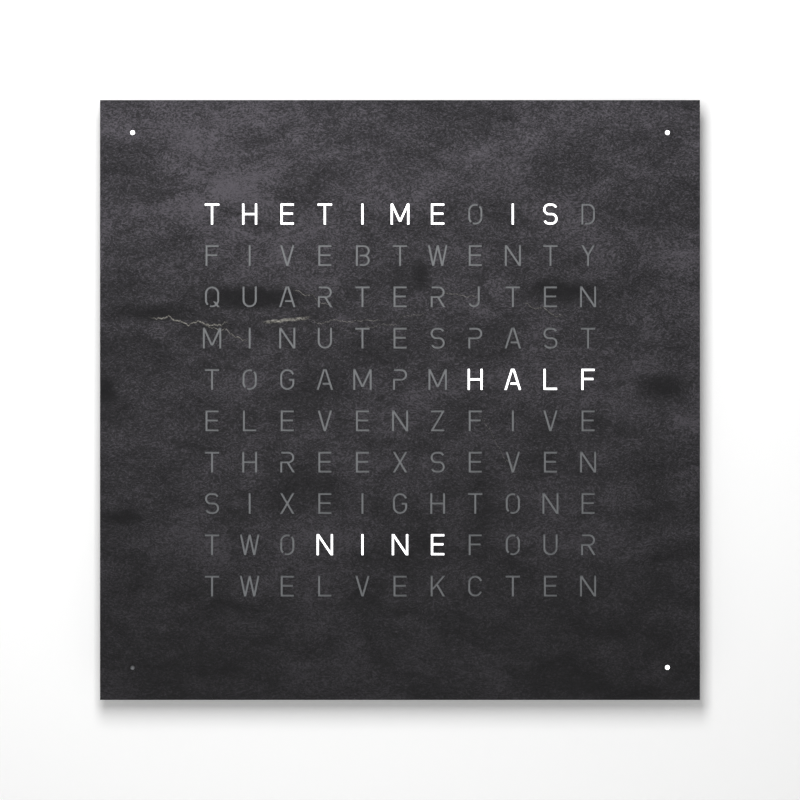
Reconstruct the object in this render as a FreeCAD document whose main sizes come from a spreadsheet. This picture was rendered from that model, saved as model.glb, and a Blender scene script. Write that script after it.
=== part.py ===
"""Wall clock that tells the time in words: a stone face plate on a slim moulded housing.

Millimetres. X runs right, Y runs into the wall, Z runs up. The origin is the centre of the
housing's back, on the wall, so a depth of d from the wall is y = -d. Every size that can be
set by itself is a cell of the sheet Dims, and every other size and place is worked out from
those cells by expressions, so the pieces follow each other when a cell is changed.
"""

import FreeCAD, Part
import os
import re
from math import sin, tan

import Sketcher

DRIVING_SIZES = {
    # Face plate, held on the housing by magnets
    "face_size": (450, "side of the square stone face"),
    "face_bevel": (0.4, "bevel round the front edge of the stone"),
    "stone_thickness": (1.6, "stone veneer"),
    "carrier_thickness": (1.2, "steel sheet that the veneer is bonded to"),
    "carrier_inset": (1, "how far the steel stays inside the stone's edge"),
    "window_width": (23, "opening in the steel behind one letter, across"),
    "window_height": (25, "opening in the steel behind one letter, upwards"),
    "pin_diameter": (5, "locating pin on the back of the steel"),
    "pin_length": (8, "locating pin's reach behind the steel"),
    "pin_place": (184, "locating pin's distance from the centre lines"),
    # Letter field
    "columns": (11, "letters in a row"),
    "rows": (10, "rows of letters"),
    "column_pitch": (28.2, "from letter to letter"),
    "row_pitch": (31, "from row to row"),
    # Corner lights that count the minutes
    "minute_place": (200.6, "corner light's distance from the centre lines"),
    "minute_hole": (3.5, "hole in the face for a corner light"),
    "pipe_side": (4, "square light pipe"),
    "pipe_gap": (0.3, "from a light pipe to its light and to the face"),
    # Rear casing
    "housing_size": (425, "side of the square housing"),
    "housing_corner": (6, "radius of the housing's corners"),
    "back_edge": (1.2, "round along the housing's back edge"),
    "wall": (2.2, "casing's side walls"),
    "base": (2.2, "casing's back panel"),
    "casing_depth": (18, "casing from the wall to its front rim"),
    "rib_count": (5, "stiffening ribs each way on the back panel"),
    "rib_pitch": (60, "from rib to rib"),
    "rib_thickness": (1.6, "stiffening rib"),
    "rib_height": (1.6, "stiffening rib's height on the panel"),
    "post_side": (6, "square post under a circuit board"),
    "clip_thickness": (1.6, "clip that holds a board"),
    "clip_nose": (0.8, "clip's nose over the board"),
    # Vents in the back panel
    "vent_count": (10, "slots in a vent"),
    "vent_pitch": (6, "from slot to slot"),
    "vent_width": (2.4, "slot"),
    "vent_height": (22, "slot"),
    "vent_top_place": (186, "upper vent above the centre"),
    "vent_low_across": (-142, "lower vent's first slot"),
    "vent_top_across": (-27, "upper vent's first slot"),
    # Front frame
    "frame_thickness": (3, "front frame's plate"),
    "frame_lip": (0.8, "lip that keeps the diffuser in"),
    "frame_window": (308, "opening in the front frame"),
    "frame_tongue": (1.5, "rim that drops inside the casing walls, thickness"),
    "frame_tongue_depth": (2, "rim's reach into the casing"),
    "hook_width": (12, "snap hook on the rim"),
    "hook_reach": (4.5, "snap hook's reach into the casing"),
    "hook_depth": (2, "snap hook's nose, along the depth"),
    "hook_nose": (1.2, "snap hook's nose beyond the rim, into the casing's wall"),
    "hook_side": (110, "hooks up and down the side walls"),
    "hook_end": (150, "hooks along the top and bottom walls"),
    "guard_thickness": (1.6, "rib round the light grid"),
    "guard_depth": (4, "that rib's reach behind the frame"),
    # Light grid and diffuser
    "grid_size": (316, "side of the light grid"),
    "grid_rib": (1.6, "wall between two letters"),
    "grid_draft": (0.5, "draft of the moulded walls in degrees"),
    "diffuser_thickness": (1.5, "opal sheet"),
    # Magnets and pin guides in the frame
    "magnet_length": (20, "block magnet"),
    "magnet_width": (10, "block magnet"),
    "magnet_thickness": (2.4, "block magnet"),
    "magnet_far": (184, "magnets' distance from one centre line"),
    "magnet_near": (100, "magnets' distance from the other centre line"),
    "guide_side": (9, "square guide for a locating pin"),
    "guide_length": (9, "square guide for a locating pin"),
    # Circuit boards
    "board_lift": (4.2, "boards above the back panel"),
    "board_thickness": (1.6, "circuit board"),
    "board_border": (7, "letter boards past the light grid"),
    "board_split": (1, "gap between the two letter boards"),
    "board_post_edge": (3.5, "letter board's corner posts from its edge"),
    "support_across": (80, "posts under the middle of the letter boards"),
    "support_up": (90, "posts under the middle of the letter boards"),
    "letter_light": (5, "side of the light behind a letter"),
    "light_height": (1.6, "height of a light on its board"),
    "minute_light": (3.5, "side of a corner light"),
    "minute_board_width": (27, "corner board"),
    "minute_board_height": (12, "corner board"),
    "minute_board_outer": (7, "corner board past its light, outwards"),
    "control_width": (130, "controller board"),
    "control_height": (36, "controller board"),
    "control_across": (95, "controller board's centre"),
    "control_up": (-188, "controller board's centre"),
    "control_post_edge": (5, "controller board's posts from its edge"),
    # Buttons and their switches
    "button_diameter": (6, "button"),
    "button_flange": (8, "button's square collar"),
    "button_flange_thickness": (1, "button's collar"),
    "button_proud": (1.2, "button outside the casing"),
    "button_travel": (0.6, "how far a button goes in"),
    "button_pitch": (20, "from button to button"),
    "button_first": (50, "first button's place"),
    "plunger_side": (3, "square switch plunger"),
    "plunger_reach": (2.4, "plunger between the button and the switch"),
    "plunger_sunk": (0.8, "plunger inside the switch at rest"),
    "switch_width": (6.4, "switch"),
    "switch_length": (3.6, "switch"),
    "switch_height": (4.4, "switch on its board"),
    "stop_gap": (0.1, "left under the plunger when a button is fully in"),
    # Light sensor
    "sensor_place": (112, "light sensor's place"),
    "sensor_lens": (5, "sensor window"),
    "sensor_flange": (7, "sensor window's square collar"),
    "sensor_width": (3, "sensor"),
    "sensor_length": (4, "sensor"),
    "sensor_gap": (0.6, "from the sensor to its window"),
    # Cable bay and power socket
    "bay_width": (40, "cable bay"),
    "bay_depth": (15.4, "cable bay from the wall"),
    "bay_height": (25, "cable bay up from the housing's bottom edge"),
    "bay_wall": (2, "cable bay's walls"),
    "rim_width": (2.5, "rim of the bay and the hanger cups, inside the back panel"),
    "rim_thickness": (1.2, "that rim"),
    "socket_depth": (9.4, "socket's axis from the wall"),
    "socket_thread": (8, "socket's threaded barrel"),
    "socket_barrel_length": (12, "barrel above its flange"),
    "socket_flange": (11, "socket's flange"),
    "socket_flange_thickness": (1.6, "socket's flange"),
    "socket_bore": (5.7, "hole for a plug of 5.5 mm"),
    "socket_bore_depth": (9.5, "hole for the plug"),
    "socket_tab_width": (2.4, "solder tab"),
    "socket_tab_length": (3, "solder tab"),
    "socket_tab_thickness": (0.6, "solder tab"),
    "contact_diameter": (2.1, "centre contact"),
    "contact_length": (8.5, "centre contact inside the hole"),
    "terminal_diameter": (1.4, "centre contact's tail through the barrel"),
    "nut_flats": (10, "socket nut across flats"),
    "nut_thickness": (2.2, "socket nut"),
    # Hangers
    "hanger_across": (140, "hangers left and right of the centre"),
    "hanger_up": (186, "hangers above the centre"),
    "hanger_width": (44, "steel hanger plate"),
    "hanger_height": (30, "steel hanger plate"),
    "hanger_thickness": (1.6, "steel hanger plate"),
    "hanger_corner": (2, "bevel of the steel hanger plate's corners"),
    "hanger_recess": (1, "steel hanger plate below the casing's back"),
    "hanger_entry": (9, "entry hole for the head of the wall screw"),
    "hanger_slot": (4.8, "slot for the neck of the wall screw"),
    "hanger_entry_drop": (6, "entry hole below the plate's middle"),
    "hanger_slot_rise": (6, "slot's end above the plate's middle"),
    "head_room_depth": (5, "room behind the plate for the screw head"),
    "head_room_width": (12, "room behind the plate for the screw head"),
    "cup_wall": (2, "wall of the cup that carries a hanger"),
    # Parts on the controller board
    "chip_side": (12, "microcontroller"),
    "chip_height": (1.6, "microcontroller"),
    "driver_width": (10, "driver chip"),
    "driver_height": (6, "driver chip"),
    "driver_across": (50, "driver chips from the centre line"),
    "driver_up": (60, "driver chips above and below the centre line"),
    "crystal_width": (11, "quartz can"),
    "crystal_side": (4.6, "quartz can"),
    "capacitor_diameter": (8, "power capacitor"),
    "capacitor_height": (8.6, "power capacitor"),
    "cell_diameter": (20, "coin cell"),
    "cell_thickness": (3.2, "coin cell"),
    "cell_rim": (1.6, "coin cell holder's wall"),
    "cell_floor": (0.9, "coin cell holder's floor"),
    "cell_across": (136, "coin cell's place"),
    "header_width": (22, "ribbon header"),
    "header_side": (4.4, "ribbon header"),
    "header_height": (3, "ribbon header"),
    "header_edge": (1.2, "ribbon header from its board's edge"),
    "ribbon_width": (18, "flat ribbon"),
    "ribbon_thickness": (0.8, "flat ribbon"),
    "ribbon_rise": (1.6, "flat ribbon above its headers"),
    "ribbon_across": (78, "flat ribbon's place"),
    "link_width": (12, "link between the letter boards"),
    "link_height": (10, "link between the letter boards"),
    "link_thickness": (2.2, "link between the letter boards"),
    "link_across": (146, "link between the letter boards"),
    "lead_diameter": (1.4, "power lead, across"),
    "tape_width": (3, "flat lead to a corner board"),
    "tape_thickness": (1, "flat lead to a corner board"),
    "lead_bend": (3, "insulated lead's bends"),
    "lead_spacing": (2.2, "between the two power leads"),
    "lead_rise": (1.4, "power leads above the socket's tabs"),
    "power_header_side": (6, "power header"),
    "power_header_height": (5, "power header"),
    "power_header_across": (43, "power header's place"),
    "chip_across": (104, "microcontroller's place"),
    "crystal_across": (114, "quartz can's place"),
    "crystal_drop": (4, "quartz can below its board's top edge"),
    "capacitor_across": (54, "first power capacitor's place"),
    "capacitor_pitch": (10, "between the power capacitors"),
    "minute_lead_out": (166, "corner lead's turn on its way down, upwards"),
    "minute_lead_end": (9, "corner lead's end below the letter board's corner"),
    # Fits
    "slide_fit": (0.05, "sliding and pressed round fits, on the radius"),
    "easy_fit": (0.2, "snapped and dropped-in pieces, each side"),
    "sheet_fit": (0.5, "diffuser and light grid in the frame, each side"),
    "button_fit": (0.3, "button in its hole, on the radius"),
}

doc = FreeCAD.newDocument("WordClock")
sheet = doc.addObject("Spreadsheet::Sheet", "Dims")
for row, (alias, (size, meaning)) in enumerate(DRIVING_SIZES.items(), start=1):
    sheet.set("A%d" % row, meaning)
    sheet.set("B%d" % row, str(size))
    sheet.setAlias("B%d" % row, alias)

# Places that several pieces share, worked out in the sheet from the driving sizes
SHARED_SIZES = {
    "board_back": "base + board_lift",
    "board_front": "board_back + board_thickness",
    "frame_front": "casing_depth + frame_thickness",
    "diffuser_front": "frame_front - frame_lip",
    "diffuser_back": "diffuser_front - diffuser_thickness",
    "stone_back": "frame_front + carrier_thickness",
    "half_housing": "housing_size / 2",
    "inside": "housing_size - 2 * wall",
    "letter_board_size": "grid_size + 2 * board_border",
    "board_post_place": "letter_board_size / 2 - board_post_edge",
    "control_post_across": "control_width / 2 - control_post_edge",
    "control_post_up": "control_height / 2 - control_post_edge",
    "minute_board_middle": "minute_place + minute_board_outer - minute_board_width / 2",
    "button_depth": "board_front + switch_height / 2",
    "bay_top": "bay_height - half_housing",
    "inner_bottom": "wall - half_housing",
    "switch_low": "inner_bottom + button_flange_thickness + plunger_reach",
}


def bound(text):
    """Return an expression with each size named as a cell of the sheet."""
    sizes = set(DRIVING_SIZES) | set(SHARED_SIZES)
    return re.sub(r"[a-z_]+", lambda m: "Dims." + m[0] if m[0] in sizes else m[0], str(text))


first_shared_row = len(DRIVING_SIZES) + 2
for row, (alias, rule) in enumerate(SHARED_SIZES.items(), start=first_shared_row):
    plain = re.sub(r"Dims\.", "", rule)
    sheet.set("A%d" % row, "worked out")
    sheet.set("B%d" % row, "=" + plain)
    sheet.setAlias("B%d" % row, alias)
    doc.recompute()


def value(text):
    """Evaluate an expression on the sheet's sizes."""
    return float(sheet.evalExpression(bound(text)))


def box(across, up, width, height):
    """A rectangle for a sketch, given by its centre and its sides."""
    return ("box", across, up, width, height)


def disc(across, up, diameter):
    """A circle for a sketch, given by its centre and its diameter."""
    return ("disc", across, up, diameter)


def mirrored(shape, across, up, *sizes):
    """The same shape in the four quarters."""
    return [shape("%s(%s)" % (sx, across), "%s(%s)" % (sz, up), *sizes)
            for sx in ("", "-") for sz in ("", "-")]


def new_body(label):
    """Start a named piece."""
    body = doc.addObject("PartDesign::Body", "Body_" + label)
    body.Label = label
    body.Placement = FreeCAD.Placement()
    return body


def constrain(sketch, kind, geometry, rule, cell):
    """Add a distance to a sketch and bind it to the sheet."""
    index = sketch.addConstraint(Sketcher.Constraint(kind, *geometry, value(rule)))
    sketch.renameConstraint(index, cell)
    sketch.setExpression("Constraints." + cell, bound(rule))


def draw_box(sketch, number, across, up, width, height):
    """Draw a rectangle with its corner and sides bound to the sheet."""
    left, low = "(%s) - (%s) / 2" % (across, width), "(%s) - (%s) / 2" % (up, height)
    x, y, w, h = value(left), value(low), value(width), value(height)
    corners = [FreeCAD.Vector(*p, 0) for p in ((x, y), (x + w, y), (x + w, y + h), (x, y + h))]
    first = sketch.GeometryCount
    for k in range(4):
        sketch.addGeometry(Part.LineSegment(corners[k], corners[(k + 1) % 4]), False)
    for k in range(4):
        sketch.addConstraint(Sketcher.Constraint("Coincident", first + k, 2, first + (k + 1) % 4, 1))
    for k in (0, 2):
        sketch.addConstraint(Sketcher.Constraint("Horizontal", first + k))
        sketch.addConstraint(Sketcher.Constraint("Vertical", first + k + 1))
    constrain(sketch, "DistanceX", (-1, 1, first, 1), left, "left%d" % number)
    constrain(sketch, "DistanceY", (-1, 1, first, 1), low, "low%d" % number)
    constrain(sketch, "DistanceX", (first, 1, first, 2), width, "width%d" % number)
    constrain(sketch, "DistanceY", (first + 1, 1, first + 1, 2), height, "height%d" % number)


def draw_disc(sketch, number, across, up, diameter):
    """Draw a circle with its centre and diameter bound to the sheet."""
    centre = FreeCAD.Vector(value(across), value(up), 0)
    index = sketch.addGeometry(
        Part.Circle(centre, FreeCAD.Vector(0, 0, 1), value(diameter) / 2), False)
    constrain(sketch, "DistanceX", (-1, 1, index, 3), across, "across%d" % number)
    constrain(sketch, "DistanceY", (-1, 1, index, 3), up, "up%d" % number)
    constrain(sketch, "Diameter", (index,), diameter, "diameter%d" % number)


def new_sketch(body, plane, start):
    """Start a sketch on one of the body's own planes, moved along the plane's normal."""
    planes = {feature.Role: feature for feature in body.Origin.OriginFeatures}
    sketch = body.newObject("Sketcher::SketchObject", "Sketch_" + body.Label)
    sketch.AttachmentSupport = (planes[plane], [""])
    sketch.MapMode = "FlatFace"
    sketch.setExpression(".AttachmentOffset.Base.z", bound(start))
    return sketch


def feature(kind, body, plane, start, length, shapes, draft=None):
    """Add or remove material from start to start + length along the plane's normal."""
    sketch = new_sketch(body, plane, start)
    for number, (shape, *sizes) in enumerate(shapes):
        (draw_box if shape == "box" else draw_disc)(sketch, number, *sizes)
    item = body.newObject("PartDesign::" + kind, kind + "_" + body.Label)
    item.Profile = sketch
    item.setExpression("Length", bound(length))
    if draft is not None:
        item.setExpression("TaperAngle", bound(draft))
    if kind == "Pocket":
        item.Reversed = True
    sketch.Visibility = False
    body.Tip = item
    return item


FRONTWARD, UPWARD, RIGHTWARD = "XZ_Plane", "XY_Plane", "YZ_Plane"


def add(body, start, length, *shapes, plane=FRONTWARD, draft=None):
    """Add material. On FRONTWARD, start is a depth from the wall."""
    return feature("Pad", body, plane, start, length, shapes, draft)


def cut(body, start, length, *shapes, plane=FRONTWARD):
    """Remove material. On FRONTWARD, start is a depth from the wall."""
    return feature("Pocket", body, plane, start, length, shapes)


def line_of(body, sketch, along, pitch, count):
    """Make one linear pattern along an axis of a sketch, its counts bound to the sheet."""
    pattern = body.newObject("PartDesign::LinearPattern", "Pattern_" + body.Label)
    pattern.Direction = (sketch, [along])
    pattern.Mode = "Spacing"
    pattern.setExpression("Offset", bound(pitch))
    pattern.setExpression("Occurrences", bound(count))
    return pattern


def repeat(body, item, along, pitch, count):
    """Repeat a feature along one axis of its sketch."""
    pattern = line_of(body, item.Profile[0], along, pitch, count)
    pattern.Originals = [item]
    body.Tip = pattern
    return pattern


def repeat_grid(body, item, pitch_across, count_across, pitch_up, count_up):
    """Repeat a feature along both axes of its sketch."""
    grid = body.newObject("PartDesign::MultiTransform", "Grid_" + body.Label)
    grid.Originals = [item]
    grid.Transformations = [
        line_of(body, item.Profile[0], "H_Axis", pitch_across, count_across),
        line_of(body, item.Profile[0], "V_Axis", pitch_up, count_up)]
    body.Tip = grid
    return grid


def edges_where(body, test):
    """Name the edges of a body's last feature that pass a test."""
    doc.recompute()
    edges = body.Tip.Shape.Edges
    return ["Edge%d" % (k + 1) for k, edge in enumerate(edges) if test(edge)]


def soften(kind, body, size, test):
    """Fillet or chamfer the edges that pass a test."""
    names = edges_where(body, test)
    base = body.Tip
    item = body.newObject("PartDesign::" + kind, kind + "_" + body.Label)
    item.Base = (base, names)
    item.setExpression("Radius" if kind == "Fillet" else "Size", bound(size))
    body.Tip = item
    return item


def upright(half_side):
    """Test for the depthwise corner edges of a centred square."""
    def test(edge):
        points = [v.Point for v in edge.Vertexes]
        return (len(points) == 2 and abs(points[0].x - points[1].x) < 1e-6
                and abs(points[0].z - points[1].z) < 1e-6
                and all(abs(abs(p.x) - half_side) < 1e-6 and abs(abs(p.z) - half_side) < 1e-6
                        for p in points))
    return test


def at_depth(depth, reach):
    """Test for edges at one depth that lie at least reach from the centre lines."""
    def test(edge):
        bounds = edge.BoundBox
        return (abs(bounds.YMin + depth) < 1e-6 and abs(bounds.YMax + depth) < 1e-6
                and max(abs(bounds.XMin), abs(bounds.XMax), abs(bounds.ZMin),
                        abs(bounds.ZMax)) > reach)
    return test


# Face: stone veneer, steel carrier and its locating pins

stone = new_body("stone_face")
add(stone, "stone_back", "stone_thickness", box("0", "0", "face_size", "face_size"))
soften("Chamfer", stone, "face_bevel",
       at_depth(value("stone_back + stone_thickness"), value("face_size / 2 - face_bevel")))
cut(stone, "stone_back", "stone_thickness",
    *mirrored(disc, "minute_place", "minute_place", "minute_hole"))

carrier = new_body("face_carrier")
add(carrier, "frame_front", "carrier_thickness",
    box("0", "0", "face_size - 2 * carrier_inset", "face_size - 2 * carrier_inset"))
cut(carrier, "frame_front", "carrier_thickness",
    *mirrored(box, "minute_place", "minute_place", "minute_hole", "minute_hole"))
first_window = cut(carrier, "frame_front", "carrier_thickness",
                   box("(1 - columns) / 2 * column_pitch", "(1 - rows) / 2 * row_pitch",
                       "window_width", "window_height"))
repeat_grid(carrier, first_window, "column_pitch", "columns", "row_pitch", "rows")

pins = new_body("locating_pins")
add(pins, "frame_front - pin_length", "pin_length",
    *mirrored(disc, "pin_place", "pin_place", "pin_diameter"))

# Rear casing: a moulded tray with bosses, posts, clips and vents

casing = new_body("rear_casing")
add(casing, "0", "casing_depth", box("0", "0", "housing_size", "housing_size"))
soften("Fillet", casing, "housing_corner", upright(value("half_housing")))
soften("Chamfer", casing, "back_edge", at_depth(0, 0))
cut(casing, "base", "casing_depth - base", box("0", "0", "inside", "inside"))
soften("Fillet", casing, "housing_corner - wall", upright(value("inside / 2")))

for across, up, sizes, along in (
        ("(1 - rib_count) / 2 * rib_pitch", "0", ("rib_thickness", "grid_size"), "H_Axis"),
        ("0", "(1 - rib_count) / 2 * rib_pitch", ("grid_size", "rib_thickness"), "V_Axis")):
    rib = add(casing, "base", "rib_height", box(across, up, *sizes))
    repeat(casing, rib, along, "rib_pitch", "rib_count")

CONTROL_POSTS = [box("control_across" + sx + "control_post_across",
                     "control_up" + sz + "control_post_up", "post_side", "post_side")
                 for sx in (" + ", " - ") for sz in (" + ", " - ")]
add(casing, "base", "board_lift", *CONTROL_POSTS,
    *mirrored(box, "board_post_place", "board_post_place", "post_side", "post_side"),
    *mirrored(box, "support_across", "support_up", "post_side", "post_side"),
    *mirrored(box, "minute_board_middle", "minute_place", "post_side", "post_side"))

clip_height = "board_lift + board_thickness + clip_nose"
minute_clip = "minute_board_height / 2 + clip_thickness / 2"
control_clip = "control_width / 2 + clip_thickness / 2"
for side, inward in ((" + ", " - "), (" - ", " + ")):
    up = "minute_place" + side + "(" + minute_clip + ")"
    across = "control_across" + side + "(" + control_clip + ")"
    add(casing, "base", clip_height, box(across, "control_up", "clip_thickness", "post_side"),
        *mirrored(box, "minute_board_middle", up, "post_side", "clip_thickness"))
    add(casing, "board_front", "clip_nose",
        box(across + inward + "clip_nose / 2", "control_up", "clip_thickness + clip_nose",
            "post_side"),
        *mirrored(box, "minute_board_middle", up + inward + "clip_nose / 2", "post_side",
                  "clip_thickness + clip_nose"))


def hooks(from_middle, thickness, width):
    """Eight boxes along the housing's four walls, two to a wall."""
    return (mirrored(box, from_middle, "hook_side", thickness, width)
            + mirrored(box, "hook_end", from_middle, width, thickness))


cut(casing, "casing_depth - hook_reach - easy_fit", "hook_depth + 2 * easy_fit",
    *hooks("half_housing - wall / 2", "wall", "hook_width + 2 * easy_fit"))

for first_slot, height in (("vent_top_across", "vent_top_place"),
                           ("vent_low_across", "-vent_top_place")):
    slot = cut(casing, "0", "base", box(first_slot, height, "vent_width", "vent_height"))
    repeat(casing, slot, "H_Axis", "vent_pitch", "vent_count")

HANGERS = {"left": "-hanger_across", "right": "hanger_across"}
cup_width = "hanger_width + 2 * (easy_fit + cup_wall)"
cup_height = "hanger_height + 2 * (easy_fit + cup_wall)"
bay_outer = "bay_width + 2 * bay_wall"
cut(casing, "0", "base", *[box(place, "hanger_up", cup_width + " + 2 * slide_fit",
                               cup_height + " + 2 * slide_fit") for place in HANGERS.values()])
cut(casing, "0", "casing_depth",
    box("0", "(bay_height + bay_wall + slide_fit) / 2 - half_housing",
        bay_outer + " + 2 * slide_fit", "bay_height + bay_wall + slide_fit"))

BUTTONS = {"hour": "button_first", "minute": "button_first + button_pitch",
           "mode": "button_first + 2 * button_pitch"}
cut(casing, "-half_housing", "wall", *[disc(place, "-button_depth",
                                            "button_diameter + 2 * button_fit")
                                       for place in BUTTONS.values()],
    disc("sensor_place", "-button_depth", "sensor_lens + 2 * slide_fit"), plane=UPWARD)

# Cable bay: a moulded cup in the casing, open at the back and at the bottom

bay = new_body("cable_bay")
bay_front = "bay_depth + bay_wall"
add(bay, "0", bay_front, box("0", "(bay_height + bay_wall) / 2 - half_housing",
                             bay_outer, "bay_height + bay_wall"))
add(bay, "base", "rim_thickness",
    box("0", "wall / 2 + (bay_height + bay_wall + rim_width) / 2 - half_housing",
        bay_outer + " + 2 * rim_width", "bay_height + bay_wall + rim_width - wall"))
cut(bay, "0", "bay_depth", box("0", "bay_height / 2 - half_housing", "bay_width", "bay_height"))
cut(bay, "bay_top", "bay_wall", disc("0", "-socket_depth", "socket_thread + 2 * easy_fit"),
    plane=UPWARD)

# Hangers: a steel plate in a moulded cup, with room behind it for a screw head

cup_depth = "hanger_recess + hanger_thickness + head_room_depth"
for name, place in HANGERS.items():
    cup = new_body("hanger_cup_" + name)
    add(cup, "0", cup_depth + " + cup_wall", box(place, "hanger_up", cup_width, cup_height))
    add(cup, "base", "rim_thickness", box(place, "hanger_up", cup_width + " + 2 * rim_width",
                                          cup_height + " + 2 * rim_width"))
    cut(cup, "0", "hanger_recess + hanger_thickness",
        box(place, "hanger_up", "hanger_width + 2 * easy_fit", "hanger_height + 2 * easy_fit"))
    cut(cup, "hanger_recess + hanger_thickness", "head_room_depth",
        box(place, "hanger_up", "head_room_width",
            "hanger_entry_drop + hanger_slot_rise + head_room_width"))

    plate = new_body("hanger_plate_" + name)
    add(plate, "hanger_recess", "hanger_thickness",
        box(place, "hanger_up", "hanger_width", "hanger_height"))
    soften("Chamfer", plate, "hanger_corner",
           lambda edge: edge.BoundBox.XLength + edge.BoundBox.ZLength < 1e-6)
    cut(plate, "hanger_recess", "hanger_thickness",
        disc(place, "hanger_up - hanger_entry_drop", "hanger_entry"))
    cut(plate, "hanger_recess", "hanger_thickness",
        box(place, "hanger_up + (hanger_slot_rise - hanger_entry_drop) / 2", "hanger_slot",
            "hanger_slot_rise + hanger_entry_drop"))
    cut(plate, "hanger_recess", "hanger_thickness",
        disc(place, "hanger_up + hanger_slot_rise", "hanger_slot"))

# Front frame, with the magnets and pin guides that carry the face

frame = new_body("front_frame")
add(frame, "casing_depth", "frame_thickness", box("0", "0", "housing_size", "housing_size"))
soften("Fillet", frame, "housing_corner", upright(value("half_housing")))
tongue = "inside - 2 * easy_fit"
add(frame, "casing_depth - frame_tongue_depth", "frame_tongue_depth", box("0", "0", tongue, tongue))
soften("Fillet", frame, "housing_corner - wall", upright(value("inside / 2 - easy_fit")))
cut(frame, "casing_depth - frame_tongue_depth", "frame_tongue_depth",
    box("0", "0", "inside - 2 * (easy_fit + frame_tongue)",
        "inside - 2 * (easy_fit + frame_tongue)"))
add(frame, "casing_depth - guard_depth", "guard_depth",
    box("0", "0", "grid_size + 2 * (sheet_fit + guard_thickness)",
        "grid_size + 2 * (sheet_fit + guard_thickness)"))
add(frame, "frame_front - guide_length", "guide_length - frame_thickness",
    *mirrored(box, "pin_place", "pin_place", "guide_side", "guide_side"))
cut(frame, "casing_depth - guard_depth", "guard_depth + frame_thickness - frame_lip",
    box("0", "0", "grid_size + 2 * sheet_fit", "grid_size + 2 * sheet_fit"))
cut(frame, "diffuser_front", "frame_lip", box("0", "0", "frame_window", "frame_window"))
cut(frame, "casing_depth - frame_tongue_depth", "frame_tongue_depth",
    box("0", "(bay_height + bay_wall + easy_fit) / 2 - half_housing",
        bay_outer + " + 2 * easy_fit", "bay_height + bay_wall + easy_fit"))
add(frame, "casing_depth - hook_reach", "hook_reach",
    *hooks("inside / 2 - easy_fit - frame_tongue / 2", "frame_tongue", "hook_width"))
add(frame, "casing_depth - hook_reach", "hook_depth",
    *hooks("inside / 2 - easy_fit + (hook_nose - frame_tongue) / 2", "frame_tongue + hook_nose",
           "hook_width"))
cut(frame, "frame_front - guide_length", "guide_length",
    *mirrored(disc, "pin_place", "pin_place", "pin_diameter + 2 * slide_fit"))
cut(frame, "casing_depth", "frame_thickness",
    *mirrored(box, "minute_place", "minute_place", "pipe_side + 2 * slide_fit",
              "pipe_side + 2 * slide_fit"))
MAGNETS = (mirrored(box, "magnet_far", "magnet_near", "magnet_width", "magnet_length")
           + mirrored(box, "magnet_near", "magnet_far", "magnet_length", "magnet_width"))
cut(frame, "frame_front - magnet_thickness", "magnet_thickness",
    *[box(across, up, wide + " + 2 * slide_fit", high + " + 2 * slide_fit")
      for _, across, up, wide, high in MAGNETS])

magnets = new_body("magnets")
add(magnets, "frame_front - magnet_thickness", "magnet_thickness", *MAGNETS)

# Light grid: crossing walls that keep the light of one letter from the next

grid = new_body("light_grid")
grid_depth = "diffuser_back - board_front"
add(grid, "board_front", grid_depth, box("0", "0", "grid_size", "grid_size"))
cut(grid, "board_front", grid_depth,
    box("0", "0", "columns * column_pitch - grid_rib", "rows * row_pitch - grid_rib"))
wall_up = add(grid, "board_front", grid_depth,
              box("(2 - columns) / 2 * column_pitch", "0", "grid_rib", "rows * row_pitch"),
              draft="grid_draft")
repeat(grid, wall_up, "H_Axis", "column_pitch", "columns - 1")
wall_across = add(grid, "board_front", grid_depth,
                  box("0", "(2 - rows) / 2 * row_pitch", "columns * column_pitch", "grid_rib"),
                  draft="grid_draft")
repeat(grid, wall_across, "V_Axis", "row_pitch", "rows - 1")

diffuser = new_body("diffuser_sheet")
add(diffuser, "diffuser_back", "diffuser_thickness", box("0", "0", "grid_size", "grid_size"))

# Letter boards and their lights

half_board = "(letter_board_size - board_split) / 2"
board_middle = "(letter_board_size + board_split) / 4"
for name, sign in (("upper", ""), ("lower", "-")):
    board = new_body(name + "_letter_board")
    add(board, "board_back", "board_thickness",
        box("0", sign + board_middle, "letter_board_size", half_board))
    lights = new_body(name + "_letter_lights")
    first_row = "0.5 * row_pitch" if sign == "" else "-0.5 * row_pitch * (rows - 1)"
    first_light = add(lights, "board_front", "light_height",
                      box("(1 - columns) / 2 * column_pitch", first_row,
                          "letter_light", "letter_light"))
    repeat_grid(lights, first_light, "column_pitch", "columns", "row_pitch", "rows / 2")

drivers = new_body("driver_chips")
add(drivers, "board_back - chip_height", "chip_height",
    *mirrored(box, "driver_across", "driver_up", "driver_width", "driver_height"))

link = new_body("board_link")
add(link, "board_back - link_thickness", "link_thickness",
    box("link_across", "0", "link_width", "link_height"))

# Corner lights that count the minutes, with their light pipes and leads

minute_boards = new_body("minute_boards")
add(minute_boards, "board_back", "board_thickness",
    *mirrored(box, "minute_board_middle", "minute_place",
              "minute_board_width", "minute_board_height"))

minute_lights = new_body("minute_lights")
add(minute_lights, "board_front", "light_height",
    *mirrored(box, "minute_place", "minute_place", "minute_light", "minute_light"))

pipes = new_body("light_pipes")
pipe_back = "board_front + light_height + pipe_gap"
add(pipes, pipe_back, "frame_front - pipe_gap - (%s)" % pipe_back,
    *mirrored(box, "minute_place", "minute_place", "pipe_side", "pipe_side"))

# Controller board and what it carries

control = new_body("controller_board")
add(control, "board_back", "board_thickness",
    box("control_across", "control_up", "control_width", "control_height"))

chip = new_body("microcontroller")
add(chip, "board_front", "chip_height",
    box("chip_across", "control_up", "chip_side", "chip_side"))

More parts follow.
